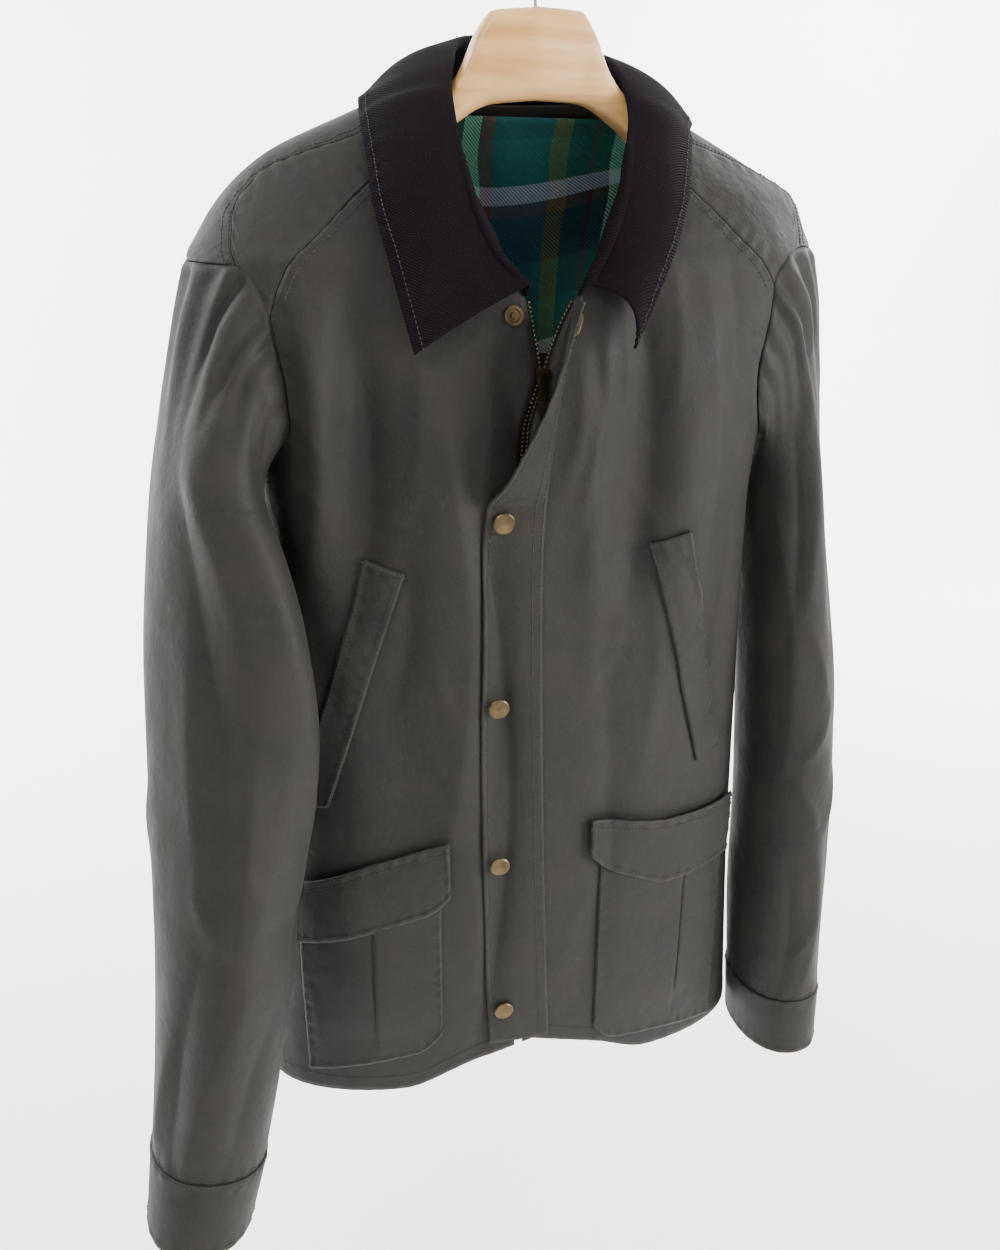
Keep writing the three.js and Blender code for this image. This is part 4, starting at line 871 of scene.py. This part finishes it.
# Pockets, pocket flaps and welts. Patch pockets with a pleat down the middle and deep flaps, and
# slanting welts folded double above them, each sewn to the front with its edges turned under.
def patch(name, side, rows, columns, shape, out, thickness, seams, rows_of_stitches):
    r, c = grid_steps(rows, columns, 1, 1)
    x, z, rise = shape(r, c if side > 0 else 1 - c)
    grid = on_front(x, z, out + thickness / 2 + rise)
    outer = cloth(name, grid, thickness, waxed_cotton, (0, 60, -300), seams, wide=4, roll=0.5)
    if side < 0:
        other = {"l": "r", "r": "l"}
        rows_of_stitches = [(other.get(key, key), away) for key, away in rows_of_stitches]
    for key, away in rows_of_stitches:
        stitch(outer, key, away)


WELTS = {"right": (-1, [(-101, -187), (-129, -178)], [(-160, -380), (-184, -387)]),
         "left": (1, [(80, -176), (110, -166)], [(140, -372), (166, -366)])}
for name, (side, top, end) in WELTS.items():
    def welt_shape(down, across, top=top, end=end):
        x = lerp(lerp(top[0][0], top[1][0], across), lerp(end[0][0], end[1][0], across), down)
        z = lerp(lerp(top[0][1], top[1][1], across), lerp(end[0][1], end[1][1], across), down)
        return x, z, 0.5 * np.sin(math.pi * across) + 0.3 * np.sin(down * 17 + across * 2)
    patch(f"welt_{name}", side, 110, 20, welt_shape, LAID + 0.1, 1.6, "tblr",
          [("t", 2), ("b", 2), ("l", 2), ("r", 3)])

# Per pocket: edges and pleat in x, top and its slope, and the heights of the lower corners.
POCKETS = {"right": (-1, -78, -188, -132, -436, -34, (-612, -640)),
           "left": (1, 56, 180, 134, -424, -12, (-632, -652))}
for name, (side, inner, outer_x, pleat, top, drop, ends) in POCKETS.items():
    def pocket_shape(down, across, inner=inner, outer_x=outer_x, pleat=pleat, top=top, drop=drop,
                     ends=ends):
        x = np.where(across <= 0.5, lerp(inner, pleat, across * 2),
                     lerp(pleat, outer_x, across * 2 - 1))
        corner = 16 * np.maximum(0, 1 - np.abs(x - inner) / 22) ** 2
        z = lerp(top + drop * across, lerp(ends[0], ends[1], across) + corner, down)
        full = 2.4 * np.sin(math.pi * across) * np.sin(math.pi * np.minimum(1, down + 0.15)) ** 0.7
        beside = (x - pleat) * np.sign(outer_x - inner)
        gap = 2.8 * np.exp(-(beside / 1.3) ** 2) - np.where(beside < 0, 2.2 * np.exp(beside / 20), 0)
        sag = 1.1 * np.sin(down * 9 + across * 4) * np.sin(math.pi * across) * down
        return x, z, np.maximum(full - gap * np.sin(math.pi * down) ** 0.3 + sag, -0.2)
    patch(f"pocket_{name}", side, 100, 80, pocket_shape, LAID, 1.4, "blr",
          [("b", 3), ("l", 2.5), ("r", 2.5)])

# Per flap: x and z of three points along its top, and its depth at each.
FLAPS = {"right": (-1, [(-71, -408), (-129, -426), (-190, -458)], (60, 64, 56)),
         "left": (1, [(44, -403), (108, -416), (184, -420)], (42, 62, 58))}
for name, (side, tops, depths) in FLAPS.items():
    def flap_shape(down, across, tops=tops, depths=depths):
        def at(a, b, c):
            return np.where(across < 0.5, lerp(a, b, across * 2), lerp(b, c, across * 2 - 1))
        x = at(*[corner[0] for corner in tops])
        soft = 10 * np.maximum(0, 1 - across * 6) ** 2
        z = at(*[corner[1] for corner in tops]) - (at(*depths) - soft) * down
        return x, z, 0.8 * np.sin(math.pi * down) + 0.8 * down * np.sin(across * 11 + 0.5)
    patch(f"pocket_flap_{name}", side, 50, 90, flap_shape, LAID + 3.4, 1.6, "tblr",
          [("t", 2.5), ("t", 8), ("b", 5), ("l", 3), ("r", 3)])

# Zip. Woven tapes under the front edges, with brass teeth 3 mm apart along them that stand open
# above the slider, and a slider whose pull tab hangs in front of it.
zip_tape, tree = new_finish("woven_zip_tape")
weft = add_node(tree, "ShaderNodeTexWave", {"Scale": 260.0, "Distortion": 0.6},
                {"Vector": object_place(tree)}, bands_direction="Z").outputs["Fac"]
dress(tree, {"Roughness": 0.85}, {"Base Color": two_tones(tree, weft, "#101217", "#20232a"),
                                  "Normal": bump(tree, weft, 0.3, 0.0003)})
aged_brass, tree = new_finish("antique_brass")
tarnish = noise(tree, object_place(tree), 90.0)
dress(tree, {"Metallic": 1.0},
      {"Base Color": two_tones(tree, tarnish, "#453a2e", "#6e5d43", 0.25, 0.75),
       "Roughness": remap(tree, tarnish, 0.28, 0.48)})
TAPE_WALL, TAPE_CLEAR = 0.8, 0.4
TAPE_DEEP = CLOTH + TAPE_CLEAR + TAPE_WALL / 2
chain_lines = []
for name, side in (("right", -1), ("left", 1)):
    r, c = grid_steps(220, 8, 1, 1)
    z = lerp(EDGE_TOP_Z - 2, hem_z(0.0) + 6, r)
    edge_x = surface(front_edge(side, z), z)[..., 0]
    grid = on_front(edge_x + side * lerp(-2, 11, c if side > 0 else 1 - c), z, -TAPE_DEEP)
    cloth(f"zip_tape_{name}", grid, TAPE_WALL, zip_tape, (0, 60, -300))
    z = np.linspace(EDGE_TOP_Z - 3, -150, 160)
    edge_x = surface(front_edge(side, z), z)[..., 0]
    chain_lines.append(on_front(edge_x - side * 1.6, z, -TAPE_DEEP + 0.9))

for node in ("zip_slider", "pull_tab", "stud_1", *[f"snap_cap_{i}" for i in range(1, 6)]):
    finish_node(node, aged_brass)


# Teeth and stitches. Both repeat along lines on the cloth: a tree sets one small shape at every
# pitch, turned along the line. Threads are drawn 0.7 mm thick, a little coarse, so that they
# show.
def repeat_along(name, lines, size, pitch, finish):
    curve = bpy.data.curves.new(name, "CURVE")
    curve.dimensions = "3D"
    for line in lines:
        spline = curve.splines.new("POLY")
        spline.points.add(len(line) - 1)
        spline.points.foreach_set("co", np.c_[place(line), np.ones(len(line))].ravel())
    carrier = bpy.data.objects.new(name + "_line", curve)
    bpy.context.collection.objects.link(carrier)
    tree = bpy.data.node_groups.new(name, "GeometryNodeTree")
    tree.interface.new_socket("Line", in_out="INPUT", socket_type="NodeSocketGeometry")
    sizes = {}
    for label, value in (("Pitch", pitch), ("Length", size[0]), ("Thickness", size[1])):
        socket = tree.interface.new_socket(label, in_out="INPUT", socket_type="NodeSocketFloat")
        sizes[socket.identifier] = value
    tree.interface.new_socket("Shapes", in_out="OUTPUT", socket_type="NodeSocketGeometry")
    start = add_node(tree, "NodeGroupInput")
    points = add_node(tree, "GeometryNodeCurveToPoints", mode="LENGTH", links={
        "Curve": start.outputs["Line"], "Length": start.outputs["Pitch"]})
    bead = add_node(tree, "GeometryNodeMeshUVSphere", {"Segments": 5, "Rings": 4, "Radius": 0.5})
    scale = add_node(tree, "ShaderNodeCombineXYZ", links={"X": start.outputs["Thickness"],
                                                          "Y": start.outputs["Thickness"],
                                                          "Z": start.outputs["Length"]})
    instances = add_node(tree, "GeometryNodeInstanceOnPoints", links={
        "Points": points.outputs["Points"], "Instance": bead.outputs["Mesh"],
        "Rotation": points.outputs["Rotation"], "Scale": scale.outputs["Vector"]})
    real = add_node(tree, "GeometryNodeRealizeInstances",
                    links={"Geometry": instances.outputs["Instances"]})
    dressed = add_node(tree, "GeometryNodeSetMaterial", {"Material": finish},
                       {"Geometry": real.outputs["Geometry"]})
    add_node(tree, "NodeGroupOutput", links={"Shapes": dressed.outputs["Geometry"]})
    modifier = carrier.modifiers.new(name, "NODES")
    modifier.node_group = tree
    for identifier, value in sizes.items():
        modifier[identifier] = value
    graph = bpy.context.evaluated_depsgraph_get()
    mesh = bpy.data.meshes.new_from_object(carrier.evaluated_get(graph))
    mesh.name = name
    mesh.polygons.foreach_set("use_smooth", [True] * len(mesh.polygons))
    piece = bpy.data.objects.new(name, mesh)
    bpy.context.collection.objects.link(piece)
    bpy.data.objects.remove(carrier)
    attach(piece, "jacket")


repeat_along("zip_teeth", chain_lines, (0.0021, 0.0030), 0.0030, aged_brass)
thread, tree = new_finish("waxed_polyester_thread")
tone = two_tones(tree, noise(tree, object_place(tree), 60.0), "#1d1c1b", "#33312d")
dress(tree, {"Roughness": 0.7}, {"Base Color": tone})
repeat_along("topstitching", stitch_lines, (0.0026, 0.0007), 0.0034, thread)

# Hanger. Broad beech hanger with a clear satin varnish, arched under the neck, and a plated wire
# hook.
beech, tree = new_finish("varnished_beech")
along = add_node(tree, "ShaderNodeMapping", {"Scale": (9.0, 90.0, 110.0)},
                 {"Vector": object_place(tree)})
grain = noise(tree, along.outputs["Vector"], 1.0, 6.0, distortion=0.4)
dress(tree, {"Roughness": 0.42, "Coat Weight": 0.15, "Coat Roughness": 0.25},
      {"Base Color": two_tones(tree, grain, "#c18c4c", "#e4b678", 0.3, 0.7),
       "Normal": bump(tree, grain, 0.1, 0.0003)})
plated, tree = new_finish("plated_steel_wire")
dress(tree, {"Metallic": 1.0, "Base Color": linear("#b9bcc0")},
      {"Roughness": remap(tree, noise(tree, object_place(tree), 500.0), 0.18, 0.34)})
HANGER = table("x top bottom half", [
    (0, 176, 120, 11), (30, 174, 118, 11), (40, 163, 115, 11.5), (52, 138, 108, 12), (64, 124, 100, 13),
    (90, 107, 78, 14), (125, 88, 58, 15), (160, 64, 36, 16), (196, 36, 10, 16), (206, 26, 6, 15)])
END, END_ROUND, SLANT, CORNER = 206, 8.0, 0.035, 0.6
x, turn = np.meshgrid(np.linspace(-END, END, 180), np.linspace(0, 2 * math.pi, 48, endpoint=False),
                      indexing="ij")
along = np.abs(x)
top, bottom = (read(HANGER, "x", key, along) + SLANT * x for key in ("top", "bottom"))
shrink = np.sqrt(1 - (np.clip(along - END + END_ROUND, 0, END_ROUND) / (END_ROUND * 1.03)) ** 2)
y = lerp(-26, -12, np.minimum(1, along / 150))
y = y + shrink * read(HANGER, "x", "half", along) * power(np.cos(turn), CORNER)
z = (top + bottom) / 2 + shrink * (top - bottom) / 2 * power(np.sin(turn), CORNER)
points = np.stack([HOOK_INSIDE[0] + x, y, z], -1)
ids = np.arange(x.size).reshape(x.shape)
ids = np.concatenate([ids, ids[:, :1]], 1)
faces = np.stack([ids[:-1, :-1], ids[:-1, 1:], ids[1:, 1:], ids[1:, :-1]], -1).reshape(-1, 4).tolist()
faces += [ids[0, :-1].tolist(), ids[-1, -2::-1].tolist()]
body = mesh_object("hanger_body_smooth", place(points.reshape(-1, 3)).tolist(), faces, beech)
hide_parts("hanger_body")
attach(body, "jacket")
finish_node("hanger_hook", plated)
